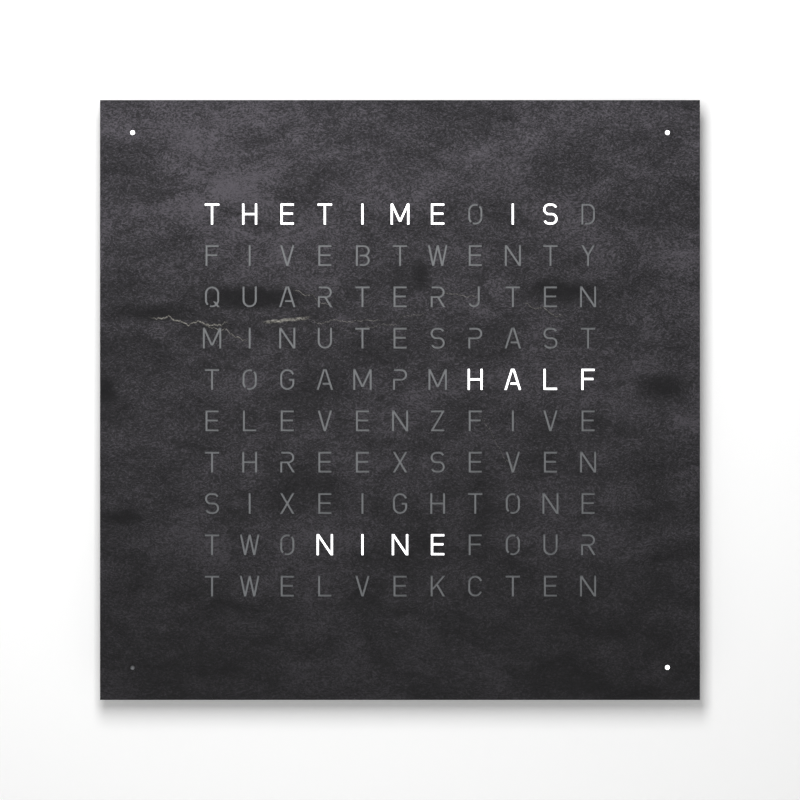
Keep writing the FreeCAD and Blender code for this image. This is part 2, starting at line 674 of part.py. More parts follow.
crystal = new_body("clock_crystal")
add(crystal, "board_front", "crystal_side",
    box("crystal_across", "control_up + control_height / 2 - crystal_drop",
        "crystal_width", "crystal_side"))

capacitors = new_body("capacitors")
add(capacitors, "board_front", "capacitor_height",
    disc("capacitor_across", "control_up", "capacitor_diameter"),
    disc("capacitor_across + capacitor_pitch", "control_up", "capacitor_diameter"))

holder = new_body("coin_cell_holder")
add(holder, "board_front", "cell_floor + cell_thickness",
    box("cell_across", "control_up", "cell_diameter + 2 * (easy_fit + cell_rim)",
        "cell_diameter + 2 * (easy_fit + cell_rim)"))
cut(holder, "board_front + cell_floor", "cell_thickness",
    disc("cell_across", "control_up", "cell_diameter + 2 * easy_fit"))

cell = new_body("coin_cell")
add(cell, "board_front + cell_floor", "cell_thickness",
    disc("cell_across", "control_up", "cell_diameter"))

# Ribbon from the controller board to the lower letter board

header_places = ["control_up + control_height / 2 - header_edge - header_side / 2",
                 "header_edge + header_side / 2 - letter_board_size / 2"]
headers = new_body("ribbon_headers")
add(headers, "board_front", "header_height",
    *[box("ribbon_across", up, "header_width", "header_side") for up in header_places])

ribbon = new_body("matrix_ribbon")
add(ribbon, "board_front + header_height", "ribbon_rise + ribbon_thickness",
    *[box("ribbon_across", up, "ribbon_width", "ribbon_thickness") for up in header_places])
add(ribbon, "board_front + header_height + ribbon_rise", "ribbon_thickness",
    box("ribbon_across", "(%s + %s) / 2" % tuple(header_places), "ribbon_width",
        "(%s) - (%s)" % (header_places[1], header_places[0])))

# Power socket in the cable bay's top wall, its nut and its centre contact

socket = new_body("power_socket")
add(socket, "bay_top - socket_flange_thickness", "socket_flange_thickness",
    disc("0", "-socket_depth", "socket_flange"), plane=UPWARD)
add(socket, "bay_top", "socket_barrel_length", disc("0", "-socket_depth", "socket_thread"),
    plane=UPWARD)
cut(socket, "bay_top - socket_flange_thickness", "socket_bore_depth",
    disc("0", "-socket_depth", "socket_bore"), plane=UPWARD)
cut(socket, "bay_top", "socket_barrel_length",
    disc("0", "-socket_depth", "terminal_diameter + 2 * slide_fit"), plane=UPWARD)
tab_across = "(socket_thread - socket_tab_thickness) / 2 - slide_fit"
add(socket, "bay_top + socket_barrel_length", "socket_tab_length",
    box(tab_across, "-socket_depth", "socket_tab_thickness", "socket_tab_width"), plane=UPWARD)

contact = new_body("socket_pin")
contact_seat = "bay_top - socket_flange_thickness + socket_bore_depth"
add(contact, contact_seat + " - contact_length", "contact_length",
    disc("0", "-socket_depth", "contact_diameter"), plane=UPWARD)
add(contact, contact_seat,
    "socket_barrel_length + socket_tab_length + socket_flange_thickness - socket_bore_depth",
    disc("0", "-socket_depth", "terminal_diameter"), plane=UPWARD)

hexagon = doc.addObject("Part::Prism", "NutHexagon")
hexagon.Polygon = 6
hexagon.setExpression("Circumradius", bound("nut_flats / 2 / cos(30)"))
hexagon.setExpression("Height", bound("nut_thickness"))
nut_hole = doc.addObject("Part::Cylinder", "NutHole")
nut_hole.setExpression("Radius", bound("socket_thread / 2 + slide_fit"))
nut_hole.setExpression("Height", bound("nut_thickness"))
for piece in (hexagon, nut_hole):
    piece.setExpression(".Placement.Base.y", bound("-socket_depth"))
    piece.setExpression(".Placement.Base.z", bound("bay_top + bay_wall"))
nut = doc.addObject("Part::Cut", "SocketNut")
nut.Base, nut.Tool, nut.Label = hexagon, nut_hole, "socket_nut"

# Leads, each swept along straight runs joined by tangent arcs


def lead(points, bend, corners):
    """Sweep a section, given by its corners' distances sideways and deep, along a route."""
    points = [FreeCAD.Vector(*point) for point in points]
    edges, start = [], points[0]
    for before, corner, after in zip(points, points[1:], points[2:]):
        back, ahead = (before - corner).normalize(), (after - corner).normalize()
        half_turn = back.getAngle(ahead) / 2
        reach = bend / tan(half_turn)
        first, last = corner + back * reach, corner + ahead * reach
        inward = (back + ahead).normalize()
        middle = corner + inward * (bend / sin(half_turn) - bend)
        edges += [Part.LineSegment(start, first).toShape(), Part.Arc(first, middle, last).toShape()]
        start = last
    edges.append(Part.LineSegment(start, points[-1]).toShape())
    deep = FreeCAD.Vector(0, 1, 0)
    sideways = (points[1] - points[0]).cross(deep).normalize()
    outline = [points[0] + sideways * across + deep * depth for across, depth in corners]
    section = Part.makePolygon(outline + outline[:1])
    return Part.Wire(edges).makePipeShell([section], True, False)


def leads_feature(label, routes, corners):
    """A named group of leads."""
    item = doc.addObject("Part::Feature", "Leads_" + label)
    item.Label = label
    tubes = [lead(route, value("lead_bend"), corners) for route in routes]
    solids = [Part.Solid(tube) if tube.ShapeType == "Shell" else tube for tube in tubes]
    for solid in solids:
        if solid.Volume < 0:
            solid.reverse()
    item.Shape = Part.makeCompound(solids)
    return item


half_tape = value("tape_width / 2"), value("tape_thickness / 2")
tape_section = [(sx * half_tape[0], sy * half_tape[1])
                for sx, sy in ((1, 1), (-1, 1), (-1, -1), (1, -1))]
tape_depth = value("board_front + tape_thickness / 2")
tape_start = (value("minute_board_middle - minute_board_width / 2 + tape_width"),
              value("minute_place"))
tape_over = value("letter_board_size / 2 + minute_lead_end")
tape_end = (value("letter_board_size / 2 - tape_width / 2 - easy_fit"),
            value("board_post_place - minute_lead_end - post_side"))
leads_feature("minute_leads", [
    [(sx * x, -tape_depth, sz * z) for x, z in (
        tape_start, (tape_over, tape_start[1]), (tape_over, value("minute_lead_out")), tape_end)]
    for sx in (1, -1) for sz in (1, -1)], tape_section)

header = new_body("power_header")
add(header, "board_front", "power_header_height",
    box("power_header_across", "control_up", "power_header_side", "power_header_side"))

half_lead = value("lead_diameter / 2")
lead_section = [(sx * half_lead, sy * half_lead)
                for sx, sy in ((1, 1), (-1, 1), (-1, -1), (1, -1))]
tab_top = value("bay_top + socket_barrel_length + socket_tab_length")
header_top = value("control_up + power_header_side / 2")
power_depth = value("socket_depth")
inner_top = value("lead_rise + lead_diameter") + tab_top
outer_top = inner_top + value("lead_spacing")
power_across = value("power_header_across")
half_spacing = value("lead_spacing / 2")
leads_feature("power_leads", [
    [(start, -power_depth, tab_top), (start, -power_depth, top), (end, -power_depth, top),
     (end, -power_depth, header_top)]
    for start, top, end in ((0, outer_top, power_across + half_spacing),
                            (value(tab_across), inner_top, power_across - half_spacing))],
    lead_section)

# Buttons in the bottom wall, each with the plunger of its switch

switches = new_body("switch_bodies")
add(switches, "switch_low", "switch_length",
    *[box(place, "-button_depth", "switch_width", "switch_height") for place in BUTTONS.values()],
    plane=UPWARD)
cut(switches, "switch_low", "plunger_sunk + button_travel + stop_gap",
    *[box(place, "-button_depth", "plunger_side + 2 * slide_fit", "plunger_side + 2 * slide_fit")
      for place in BUTTONS.values()], plane=UPWARD)

for name, place in BUTTONS.items():
    button = new_body(name + "_button")
    add(button, "-half_housing - button_proud", "button_proud + wall",
        disc("0", "-button_depth", "button_diameter"), plane=UPWARD)
    add(button, "inner_bottom", "button_flange_thickness",
        box("0", "-button_depth", "button_flange", "button_flange"), plane=UPWARD)
    plunger = new_body(name + "_plunger")
    add(plunger, "inner_bottom + button_flange_thickness", "plunger_reach + plunger_sunk",
        box("0", "-button_depth", "plunger_side", "plunger_side"), plane=UPWARD)
    for piece in (button, plunger):
        piece.setExpression(".Placement.Base.x", bound(place))

# Light sensor behind its window

lens = new_body("sensor_window")
add(lens, "-half_housing", "wall", disc("sensor_place", "-button_depth", "sensor_lens"),
    plane=UPWARD)
add(lens, "inner_bottom", "button_flange_thickness",
    box("sensor_place", "-button_depth", "sensor_flange", "sensor_flange"), plane=UPWARD)

sensor = new_body("light_sensor")
add(sensor, "inner_bottom + button_flange_thickness + sensor_gap", "sensor_length",
    box("sensor_place", "-button_depth", "sensor_width", "switch_height"), plane=UPWARD)

# Check every piece, then write one file for each

doc.recompute()
faults = ["%s: %s" % (item.Label, item.State) for item in doc.Objects
          if "Invalid" in item.State or "Error" in item.State]
for item in doc.findObjects("PartDesign::Pocket"):
    if item.Shape.Volume > item.BaseFeature.Shape.Volume - 1e-6:
        faults.append("%s removes nothing" % item.Label)
pieces = (doc.findObjects("PartDesign::Body") + doc.findObjects("Part::Feature", Label=".*leads")
          + [nut])
for piece in pieces:
    if not piece.Shape.isValid() or piece.Shape.Volume <= 0:
        faults.append("%s is not a valid solid" % piece.Label)
if faults:
    raise RuntimeError("; ".join(faults))
os.makedirs("parts", exist_ok=True)
for piece in pieces:
    piece.Shape.exportStep(os.path.join("parts", piece.Label + ".step"))
    print("%-22s %3d solids %10.0f mm3" % (piece.Label, len(piece.Shape.Solids),
                                           piece.Shape.Volume))
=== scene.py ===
"""Scene of a wall clock that tells the time in words: slate face, stencil letters, slim housing.

Everything is in metres in the frame's axes: X right, Y into the wall, Z up, with the origin at
the middle of the housing's back. Sizes named _mm are millimetres.
"""

import logging
import math
from dataclasses import dataclass
from enum import Enum

import bmesh
import bpy
from mathutils import Matrix, Vector, noise

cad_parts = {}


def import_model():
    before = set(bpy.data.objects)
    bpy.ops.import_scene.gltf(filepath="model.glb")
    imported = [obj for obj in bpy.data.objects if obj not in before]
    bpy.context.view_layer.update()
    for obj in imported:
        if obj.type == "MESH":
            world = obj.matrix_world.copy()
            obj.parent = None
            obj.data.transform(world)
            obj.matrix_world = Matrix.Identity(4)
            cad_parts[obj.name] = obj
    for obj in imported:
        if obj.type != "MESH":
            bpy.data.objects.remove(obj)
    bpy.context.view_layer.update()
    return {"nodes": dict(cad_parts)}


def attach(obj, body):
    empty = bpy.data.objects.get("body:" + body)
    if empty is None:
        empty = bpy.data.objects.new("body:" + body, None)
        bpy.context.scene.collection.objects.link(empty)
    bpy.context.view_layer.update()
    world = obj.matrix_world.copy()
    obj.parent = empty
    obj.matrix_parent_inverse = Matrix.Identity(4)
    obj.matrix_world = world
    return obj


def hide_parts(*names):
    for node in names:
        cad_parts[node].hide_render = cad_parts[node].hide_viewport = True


MM = 0.001
FACE_HALF = 225 * MM
FACE_FRONT = -23.8 * MM
LOG = logging.getLogger("word_clock")
Socket = bpy.types.NodeSocket


def linear(colour: str) -> tuple[float, float, float, float]:
    """Turn an sRGB hex colour into linear red, green, blue and alpha.

    Args:
        colour: Six hex digits after a hash.

    Returns:
        Four floats for a colour socket.
    """
    parts = [int(colour[k:k + 2], 16) / 255 for k in (1, 3, 5)]
    return (*[c / 12.92 if c <= 0.04045 else ((c + 0.055) / 1.055) ** 2.4 for c in parts], 1.0)


def add_node(tree: bpy.types.NodeTree, kind: str, settings: dict[str, object] | None = None,
             inputs: dict[str | int, object] | None = None) -> bpy.types.Node:
    """Add a shader node with its settings and its inputs.

    Args:
        tree: The node tree to add to.
        kind: The node's type name without its ShaderNode prefix.
        settings: Property values by name.
        inputs: A value, or a socket to link from, by the input's name or number.

    Returns:
        The new node.
    """
    node = tree.nodes.new("ShaderNode" + kind)
    for name, value in (settings or {}).items():
        setattr(node, name, value)
    for name, value in (inputs or {}).items():
        if isinstance(value, Socket):
            tree.links.new(value, node.inputs[name])
        else:
            node.inputs[name].default_value = value
    return node


def new_material(name: str) -> tuple[bpy.types.Material, bpy.types.NodeTree, bpy.types.Node]:
    """Start a material.

    Args:
        name: What the material is.

    Returns:
        The material, its tree with every node but the output removed, and the output.
    """
    material = bpy.data.materials.new(name)
    material.use_nodes = True
    tree = material.node_tree
    tree.nodes.clear()
    return material, tree, add_node(tree, "OutputMaterial")


# Finishes


@dataclass(frozen=True)
class Surface:
    """A plain finish with fine tone variation and a fine relief, both sized in millimetres."""

    name: str
    colour: str
    variation: str
    roughness: float
    metallic: float = 0.0
    ior: float = 1.46
    grain_mm: float = 0.8
    relief_mm: float = 0.02
    stretch: tuple[float, float, float] = (1.0, 1.0, 1.0)
    roughness_spread: float = 0.06
    emission: float = 0.0

    def material(self) -> bpy.types.Material:
        """Build the material once and return it."""
        found = bpy.data.materials.get(self.name)
        if found:
            return found
        material, tree, output = new_material(self.name)
        place = add_node(tree, "TexCoord").outputs["Object"]
        stretched = add_node(tree, "Mapping", inputs={"Vector": place, "Scale": self.stretch})
        grain = add_node(tree, "TexNoise", inputs={
            "Vector": stretched.outputs[0], "Scale": 1 / (self.grain_mm * MM), "Detail": 3.0,
            "Roughness": 0.55})
        clouds = add_node(tree, "TexNoise", inputs={
            "Vector": stretched.outputs[0], "Scale": 1 / (40 * self.grain_mm * MM),
            "Detail": 4.0})
        blend = add_node(tree, "Math", {"operation": "MULTIPLY"},
                         {0: grain.outputs[0], 1: clouds.outputs[0]})
        spread = add_node(tree, "MapRange", inputs={
            "Value": blend.outputs[0], "From Min": 0.15, "From Max": 0.38})
        tone = add_node(tree, "Mix", {"data_type": "RGBA"}, {
            0: spread.outputs[0], 6: linear(self.colour), 7: linear(self.variation)})
        rough = add_node(tree, "MapRange", inputs={
            "Value": grain.outputs[0], "From Min": 0.3, "From Max": 0.7,
            "To Min": self.roughness - self.roughness_spread,
            "To Max": self.roughness + self.roughness_spread})
        bump = add_node(tree, "Bump", inputs={
            "Height": grain.outputs[0], "Distance": self.relief_mm * MM, "Strength": 1.0})
        shader = add_node(tree, "BsdfPrincipled", inputs={
            "Base Color": tone.outputs[2], "Roughness": rough.outputs[0],
            "Normal": bump.outputs[0], "Metallic": self.metallic})
        if not self.metallic:
            shader.inputs["IOR"].default_value = self.ior
        if self.emission:
            tree.links.new(tone.outputs[2], shader.inputs["Emission Color"])
            shader.inputs["Emission Strength"].default_value = self.emission
        tree.links.new(shader.outputs[0], output.inputs[0])
        return material


class Finish(Enum):
    """The finishes of the clock's pieces, each named for its material and how it was made."""

    # Moulded ABS: a spark-eroded mould leaves an even matt grit
    CASING = Surface("casing_abs_spark_texture", "#2b2b2d", "#353537", 0.62, grain_mm=0.7,
                     relief_mm=0.05)
    FRAME = Surface("frame_abs_fine_texture", "#303032", "#39393b", 0.58, grain_mm=0.5,
                    relief_mm=0.03)
    GRID = Surface("light_grid_white_abs", "#dcdcd6", "#e8e8e2", 0.5, grain_mm=0.6)
    NYLON_BLACK = Surface("moulded_nylon_black", "#1c1c1e", "#262628", 0.42, ior=1.53,
                          grain_mm=0.4, relief_mm=0.012)
    NYLON_NATURAL = Surface("moulded_nylon_natural", "#d8d3c0", "#e4dfcd", 0.45, ior=1.53,
                            grain_mm=0.5)
    EPOXY = Surface("chip_moulded_epoxy", "#1d1d1f", "#29292b", 0.6, ior=1.55, grain_mm=0.2)
    BUTTON = Surface("button_abs_satin", "#343437", "#3e3e41", 0.45, grain_mm=0.35,
                     relief_mm=0.01)
    # Powder coat: sprayed dry and baked, so it levels to a fine orange peel
    CARRIER = Surface("carrier_powder_coat_black", "#1e1e20", "#272729", 0.55, grain_mm=1.1,
                      relief_mm=0.04)
    # Zinc plate on pressed steel: bright, with fine rolling lines along the sheet
    ZINC = Surface("zinc_plated_steel", "#a9abae", "#bfc1c3", 0.34, metallic=1.0, grain_mm=0.5,
                   relief_mm=0.006, stretch=(0.08, 1.0, 1.0))
    NICKEL = Surface("nickel_plate", "#b7b3a8", "#c8c4ba", 0.25, metallic=1.0, grain_mm=0.6,
                     relief_mm=0.003)
    CAN = Surface("drawn_aluminium_can", "#b4b5b8", "#c6c7c9", 0.3, metallic=1.0, grain_mm=0.6,
                  relief_mm=0.003)
    # Solder mask: a thin glossy lacquer over the copper
    MASK_WHITE = Surface("solder_mask_white", "#e2e3e1", "#eeeeec", 0.3, ior=1.5, grain_mm=0.5)
    MASK_GREEN = Surface("solder_mask_green", "#14532f", "#1a6138", 0.3, ior=1.5, grain_mm=0.5)
    PHOSPHOR = Surface("light_phosphor_resin", "#e9e2a8", "#f1ebb8", 0.25, ior=1.5,
                       grain_mm=0.3)
    VINYL_BLACK = Surface("lead_vinyl_black", "#1f1f21", "#29292b", 0.45, ior=1.52,
                          grain_mm=0.4)
    VINYL_GREY = Surface("ribbon_vinyl_grey", "#a2a3a5", "#b0b1b3", 0.45, ior=1.52,
                         grain_mm=0.4)
    SMOKED = Surface("sensor_window_smoked_acrylic", "#17171a", "#1d1d20", 0.12, ior=1.49,
                     grain_mm=1.5, relief_mm=0.002, roughness_spread=0.02)
    # Opal acrylic: white through and through, with a satin skin
    OPAL = Surface("opal_acrylic_satin", "#b4b6b7", "#bcbec0", 0.4, ior=1.49, grain_mm=1.2,
                   relief_mm=0.004)
    # Translucent grey film behind the stone for the letters whose light is off; its faint emission
    # is painted light standing in for room light that reaches it through the slots
    FILM_PAINTED_GLOW = Surface("letter_film_grey_painted_glow", "#5b5d5f", "#616366", 0.5, ior=1.5, grain_mm=1.0,
                   relief_mm=0.004, emission=0.3)
    FILM_LIT = Surface("letter_film_lit", "#fbfcff", "#ffffff", 0.5, ior=1.5, grain_mm=1.0,
                       relief_mm=0.004, emission=2.2)
    OPAL_LIT = Surface("opal_acrylic_lit", "#fbfcff", "#ffffff", 0.4, ior=1.49, grain_mm=1.2,
                       relief_mm=0.004, emission=2.6)
    PIPE = Surface("light_pipe_clear_acrylic", "#8d8f92", "#999b9e", 0.2, ior=1.49,
                   grain_mm=0.8, relief_mm=0.003)


@dataclass(frozen=True)
class Vein:
    """A thin pale seam in the slate, near level, between two points of the face in mm."""

    start: tuple[float, float]
    end: tuple[float, float]
    width: float
    wander: float
    strength: float


@dataclass(frozen=True)
class StainAndPaintedLight:
    """A soft dark or pale patch on the slate: centre, half sizes in mm, and tone. Most are stains
    in the stone; the pale one over the top-left corner is painted light.
    """

    centre: tuple[float, float]
    reach: tuple[float, float]
    tone: float


@dataclass(frozen=True)
class Slate:
    """Split slate veneer: layered stone with a wavy level grain, seams and mineral stains, with
    painted light that makes it paler at the top-left and darker towards the bottom.

    The cleft surface scatters light, so it is matt, and its grain shows as fine light and
    dark flecks under light from above.
    """

    name: str = "slate_veneer_natural_cleft"
    dark: str = "#201e23"
    middle: str = "#4a484d"
    pale: str = "#817c85"
    seam: str = "#b9b6ae"
    fleck_mm: float = 1.05
    cleft_mm: float = 38.0
    ridge_mm: float = 60.0
    cloud_mm: float = 150.0
    waver_mm: float = 22.0
    waver_reach_mm: float = 12.0
    relief_mm: float = 1.6
    # painted light and shade: the slate's tone is scaled from the first at the bottom edge to the
    # second at the top, as the key light falls off downwards
    painted_falloff_bottom: float = 0.175
    painted_falloff_top: float = 0.53
    veins: tuple[Vein, ...] = (
        Vein((-190, 62), (-126, 55), 0.9, 7.0, 0.75),
        Vein((-150, 58), (-112, 44), 0.7, 6.0, 0.6),
        Vein((-104, 58), (-66, 62), 1.7, 3.0, 1.0),
        Vein((-82, 84), (-50, 70), 0.6, 8.0, 0.4),
        Vein((-70, 58), (-10, 60), 0.5, 6.0, 0.4),
        Vein((30, 81), (60, 77), 0.5, 4.0, 0.45),
        Vein((92, 72), (124, 62), 0.6, 6.0, 0.5),
        Vein((-40, 50), (24, 66), 0.4, 9.0, 0.3),
        Vein((58, -10), (90, -58), 0.5, 12.0, 0.35),
    )
    stains_and_painted_light: tuple[StainAndPaintedLight, ...] = (
        StainAndPaintedLight((-112, 76), (52, 11), -1.3),
        StainAndPaintedLight((-186, 66), (50, 9), -0.8),
        StainAndPaintedLight((16, 92), (10, 14), -0.8),
        StainAndPaintedLight((122, 82), (44, 11), -1.0),
        StainAndPaintedLight((198, 10), (26, 14), -1.0),
        StainAndPaintedLight((-220, 8), (11, 16), -1.0),
        StainAndPaintedLight((-208, -88), (22, 9), -0.8),
        StainAndPaintedLight((60, -78), (16, 50), -0.5),
        StainAndPaintedLight((-95, 18), (60, 24), 0.3),
        # painted light: a pale patch over the top-left corner, where the key light falls brightest
        StainAndPaintedLight((-150, 150), (90, 60), 0.5),
        StainAndPaintedLight((190, 120), (40, 30), 0.12),
        StainAndPaintedLight((55, -78), (14, 16), 0.2),
        StainAndPaintedLight((120, -150), (80, 40), -0.2),
    )

    def material(self) -> bpy.types.Material:
        """Build the slate's material and return it."""
        material, tree, output = new_material(self.name)
        place = add_node(tree, "TexCoord").outputs["Object"]
        waver = add_node(tree, "TexNoise", inputs={
            "Vector": place, "Scale": 1 / (self.waver_mm * MM), "Detail": 3.0})
        centred = add_node(tree, "VectorMath", {"operation": "SUBTRACT"},
                           {0: waver.outputs["Color"], 1: (0.5, 0.5, 0.5)})
        reach = self.waver_reach_mm * MM
        shift = add_node(tree, "VectorMath", {"operation": "MULTIPLY"},
                         {0: centred.outputs[0], 1: (reach, 0.0, reach)})
        bent = add_node(tree, "VectorMath", {"operation": "ADD"},
                        {0: place, 1: shift.outputs[0]}).outputs[0]
        layered = add_node(tree, "Mapping", inputs={"Vector": bent, "Scale": (0.7, 1.0, 1.2)})
        fleck = add_node(tree, "TexNoise", inputs={
            "Vector": layered.outputs[0], "Scale": 1 / (self.fleck_mm * MM), "Detail": 3.0,
            "Roughness": 0.75})
        cleft = add_node(tree, "TexNoise", inputs={
            "Vector": layered.outputs[0], "Scale": 1 / (self.cleft_mm * MM), "Detail": 9.0,
            "Roughness": 0.66, "Distortion": 0.5})
        cloud = add_node(tree, "TexNoise", inputs={
            "Vector": bent, "Scale": 1 / (self.cloud_mm * MM), "Detail": 3.0})
        tone = add_node(tree, "Math", {"operation": "MULTIPLY_ADD"},
                        {0: fleck.outputs[0], 1: 2.3, 2: -1.36})
        tone = add_node(tree, "Math", {"operation": "MULTIPLY_ADD"},
                        {0: cleft.outputs[0], 1: 1.2, 2: tone.outputs[0]})
        tone = add_node(tree, "Math", {"operation": "MULTIPLY_ADD"},
                        {0: cloud.outputs[0], 1: 0.45, 2: tone.outputs[0]})
        ridges = add_node(tree, "TexNoise", {"noise_type": "RIDGED_MULTIFRACTAL",
                                             "normalize": False}, {
            "Vector": layered.outputs[0], "Scale": 1 / (self.ridge_mm * MM), "Detail": 5.0,
            "Roughness": 0.5, "Offset": 0.9, "Gain": 1.6, "Distortion": 0.4})
        crest = add_node(tree, "MapRange", inputs={
            "Value": ridges.outputs[0], "From Min": 1.7, "From Max": 2.4, "To Min": 0.0,
            "To Max": 0.3})
        level = add_node(tree, "Math", {"operation": "ADD"},
                         {0: tone.outputs[0], 1: crest.outputs[0]}).outputs[0]
        for tone_patch in self.stains_and_painted_light:
            level = self._add_tone_patch(tree, bent, cleft.outputs[0], level, tone_patch)
        ramp = add_node(tree, "ValToRGB", inputs={0: level})
        self._colour_ramp(ramp.color_ramp)
        # painted shade: darker towards the bottom edge, as the key light falls off
        colour = self._paint_light_falloff(tree, place, ramp.outputs[0])
        seam_height = None
        for vein in self.veins:
            mask = self._vein(tree, place, fleck.outputs[0], vein)
            colour = add_node(tree, "Mix", {"data_type": "RGBA"}, {
                0: mask, 6: colour, 7: linear(self.seam)}).outputs[2]
            seam_height = mask if seam_height is None else add_node(
                tree, "Math", {"operation": "MAXIMUM"}, {0: seam_height, 1: mask}).outputs[0]
        height = add_node(tree, "Math", {"operation": "MULTIPLY_ADD"},
                          {0: fleck.outputs[0], 1: 0.5, 2: cleft.outputs[0]})
        height = add_node(tree, "Math", {"operation": "MULTIPLY_ADD"},
                          {0: seam_height, 1: 0.4, 2: height.outputs[0]})
        bump = add_node(tree, "Bump", inputs={
            "Height": height.outputs[0], "Distance": self.relief_mm * MM, "Strength": 1.0})
        rough = add_node(tree, "MapRange", inputs={
            "Value": fleck.outputs[0], "From Min": 0.3, "From Max": 0.7, "To Min": 0.62,
            "To Max": 0.85})
        shader = add_node(tree, "BsdfPrincipled", inputs={
            "Base Color": colour, "Roughness": rough.outputs[0], "Normal": bump.outputs[0],
            "IOR": 1.5, "Specular IOR Level": 0.35})
        tree.links.new(shader.outputs[0], output.inputs[0])
        return material

    def _colour_ramp(self, ramp: bpy.types.ColorRamp) -> None:
        """Set the slate's tones from dark to pale."""
        ramp.elements[0].position, ramp.elements[0].color = 0.22, linear(self.dark)
        ramp.elements[1].position, ramp.elements[1].color = 1.0, linear(self.pale)
        middle = ramp.elements.new(0.62)
        middle.color = linear(self.middle)

    def _paint_light_falloff(self, tree: bpy.types.NodeTree, place: Socket, colour: Socket) -> Socket:
        """Scale the slate's tone evenly from the bottom edge to the top, darker at the bottom:
        painted shade of the key light falling off downwards.
        """
        height = add_node(tree, "SeparateXYZ", inputs={0: place}).outputs["Z"]
        shade = add_node(tree, "MapRange", inputs={
            "Value": height, "From Min": -FACE_HALF, "From Max": FACE_HALF,
            "To Min": self.painted_falloff_bottom, "To Max": self.painted_falloff_top})
        return add_node(tree, "VectorMath", {"operation": "SCALE"},
                        {0: colour, "Scale": shade.outputs[0]}).outputs[0]

    def _add_tone_patch(self, tree: bpy.types.NodeTree, place: Socket, ragged: Socket, level: Socket,
                tone_patch: StainAndPaintedLight) -> Socket:
        """Add one patch to the tone.

        Args:
            tree: The slate's node tree.
            place: The wavered position.
            ragged: Noise that breaks the patch's edge.
            level: The tone so far.
            tone_patch: The patch.

        Returns:
            The tone with the patch.
        """
        x, z = (c * MM for c in tone_patch.centre)
        away = add_node(tree, "VectorMath", {"operation": "SUBTRACT"},
                        {0: place, 1: (x, 0.0, z)})
        scaled = add_node(tree, "VectorMath", {"operation": "MULTIPLY"}, {
            0: away.outputs[0], 1: (1 / (tone_patch.reach[0] * MM), 0.0, 1 / (tone_patch.reach[1] * MM))})
        far = add_node(tree, "VectorMath", {"operation": "LENGTH"}, {0: scaled.outputs[0]})
        worn = add_node(tree, "Math", {"operation": "MULTIPLY_ADD"},
                        {0: ragged, 1: -1.6, 2: far.outputs["Value"]})
        mask = add_node(tree, "MapRange", {"interpolation_type": "SMOOTHSTEP"}, {
            "Value": worn.outputs[0], "From Min": -0.75, "From Max": 0.25,
            "To Min": tone_patch.tone * 0.5, "To Max": 0.0})
        return add_node(tree, "Math", {"operation": "ADD"},
                        {0: level, 1: mask.outputs[0]}).outputs[0]

    def _vein(self, tree: bpy.types.NodeTree, place: Socket, flecks: Socket,
              vein: Vein) -> Socket:
        """Return the mask of one seam.

        Args:
            tree: The slate's node tree.
            place: The position on the stone.
            flecks: Fine noise that breaks the seam up.
            vein: The seam.

        Returns:
            A value from 0 off the seam to its strength on it.
        """
        (x0, z0), (x1, z1) = vein.start, vein.end
        parts = add_node(tree, "SeparateXYZ", inputs={0: place})
        along = add_node(tree, "MapRange", inputs={
            "Value": parts.outputs["X"], "From Min": x0 * MM, "From Max": x1 * MM,
            "To Min": z0 * MM, "To Max": z1 * MM})
        along.clamp = False
        wander = add_node(tree, "TexNoise", {"noise_dimensions": "1D"}, {
            "W": parts.outputs["X"], "Scale": 1 / (14 * MM), "Detail": 5.0, "Roughness": 0.6})
        line = add_node(tree, "Math", {"operation": "MULTIPLY_ADD"},
                        {0: wander.outputs[0], 1: 2 * vein.wander * MM, 2: along.outputs[0]})
        off = add_node(tree, "Math", {"operation": "SUBTRACT"},
                       {0: line.outputs[0], 1: parts.outputs["Z"]})
        off = add_node(tree, "Math", {"operation": "SUBTRACT"},
                       {0: off.outputs[0], 1: vein.wander * MM})
        off = add_node(tree, "Math", {"operation": "ABSOLUTE"}, {0: off.outputs[0]})
        near = add_node(tree, "MapRange", {"interpolation_type": "SMOOTHSTEP"}, {
            "Value": off.outputs[0], "From Min": 0.0, "From Max": vein.width * MM,
            "To Min": vein.strength, "To Max": 0.0})
        middle, half = (x0 + x1) / 2 * MM, (x1 - x0) / 2 * MM
        aside = add_node(tree, "Math", {"operation": "SUBTRACT"},
                         {0: parts.outputs["X"], 1: middle})
        aside = add_node(tree, "Math", {"operation": "ABSOLUTE"}, {0: aside.outputs[0]})
        ends = add_node(tree, "MapRange", {"interpolation_type": "SMOOTHSTEP"}, {
            "Value": aside.outputs[0], "From Min": half * 0.6, "From Max": half,
            "To Min": 1.0, "To Max": 0.0})
        mask = add_node(tree, "Math", {"operation": "MULTIPLY"},
                        {0: near.outputs[0], 1: ends.outputs[0]})
        broken = add_node(tree, "MapRange", inputs={
            "Value": flecks, "From Min": 0.35, "From Max": 0.55})
        return add_node(tree, "Math", {"operation": "MULTIPLY"},
                        {0: mask.outputs[0], 1: broken.outputs[0]}).outputs[0]


# Lettering: strokes of one width, cut right through the stone. All sizes are in mm

STROKE = 1.5
# Half the height of a letter, whose middle is the middle of its cell
CAP = 7.85
# Middle line of a level stroke at the top of a letter
TOP = CAP - STROKE / 2
COLUMN_PITCH, ROW_PITCH = 28.2, 31.0
MIDDLE_COLUMN, MIDDLE_ROW = 5, 4.5
# Radius of a round letter's ends and the height of their centres
ROUND, ROUND_TOP = 4.58, 2.5
# Radius of the two lobes of an S
LOBE = 3.54


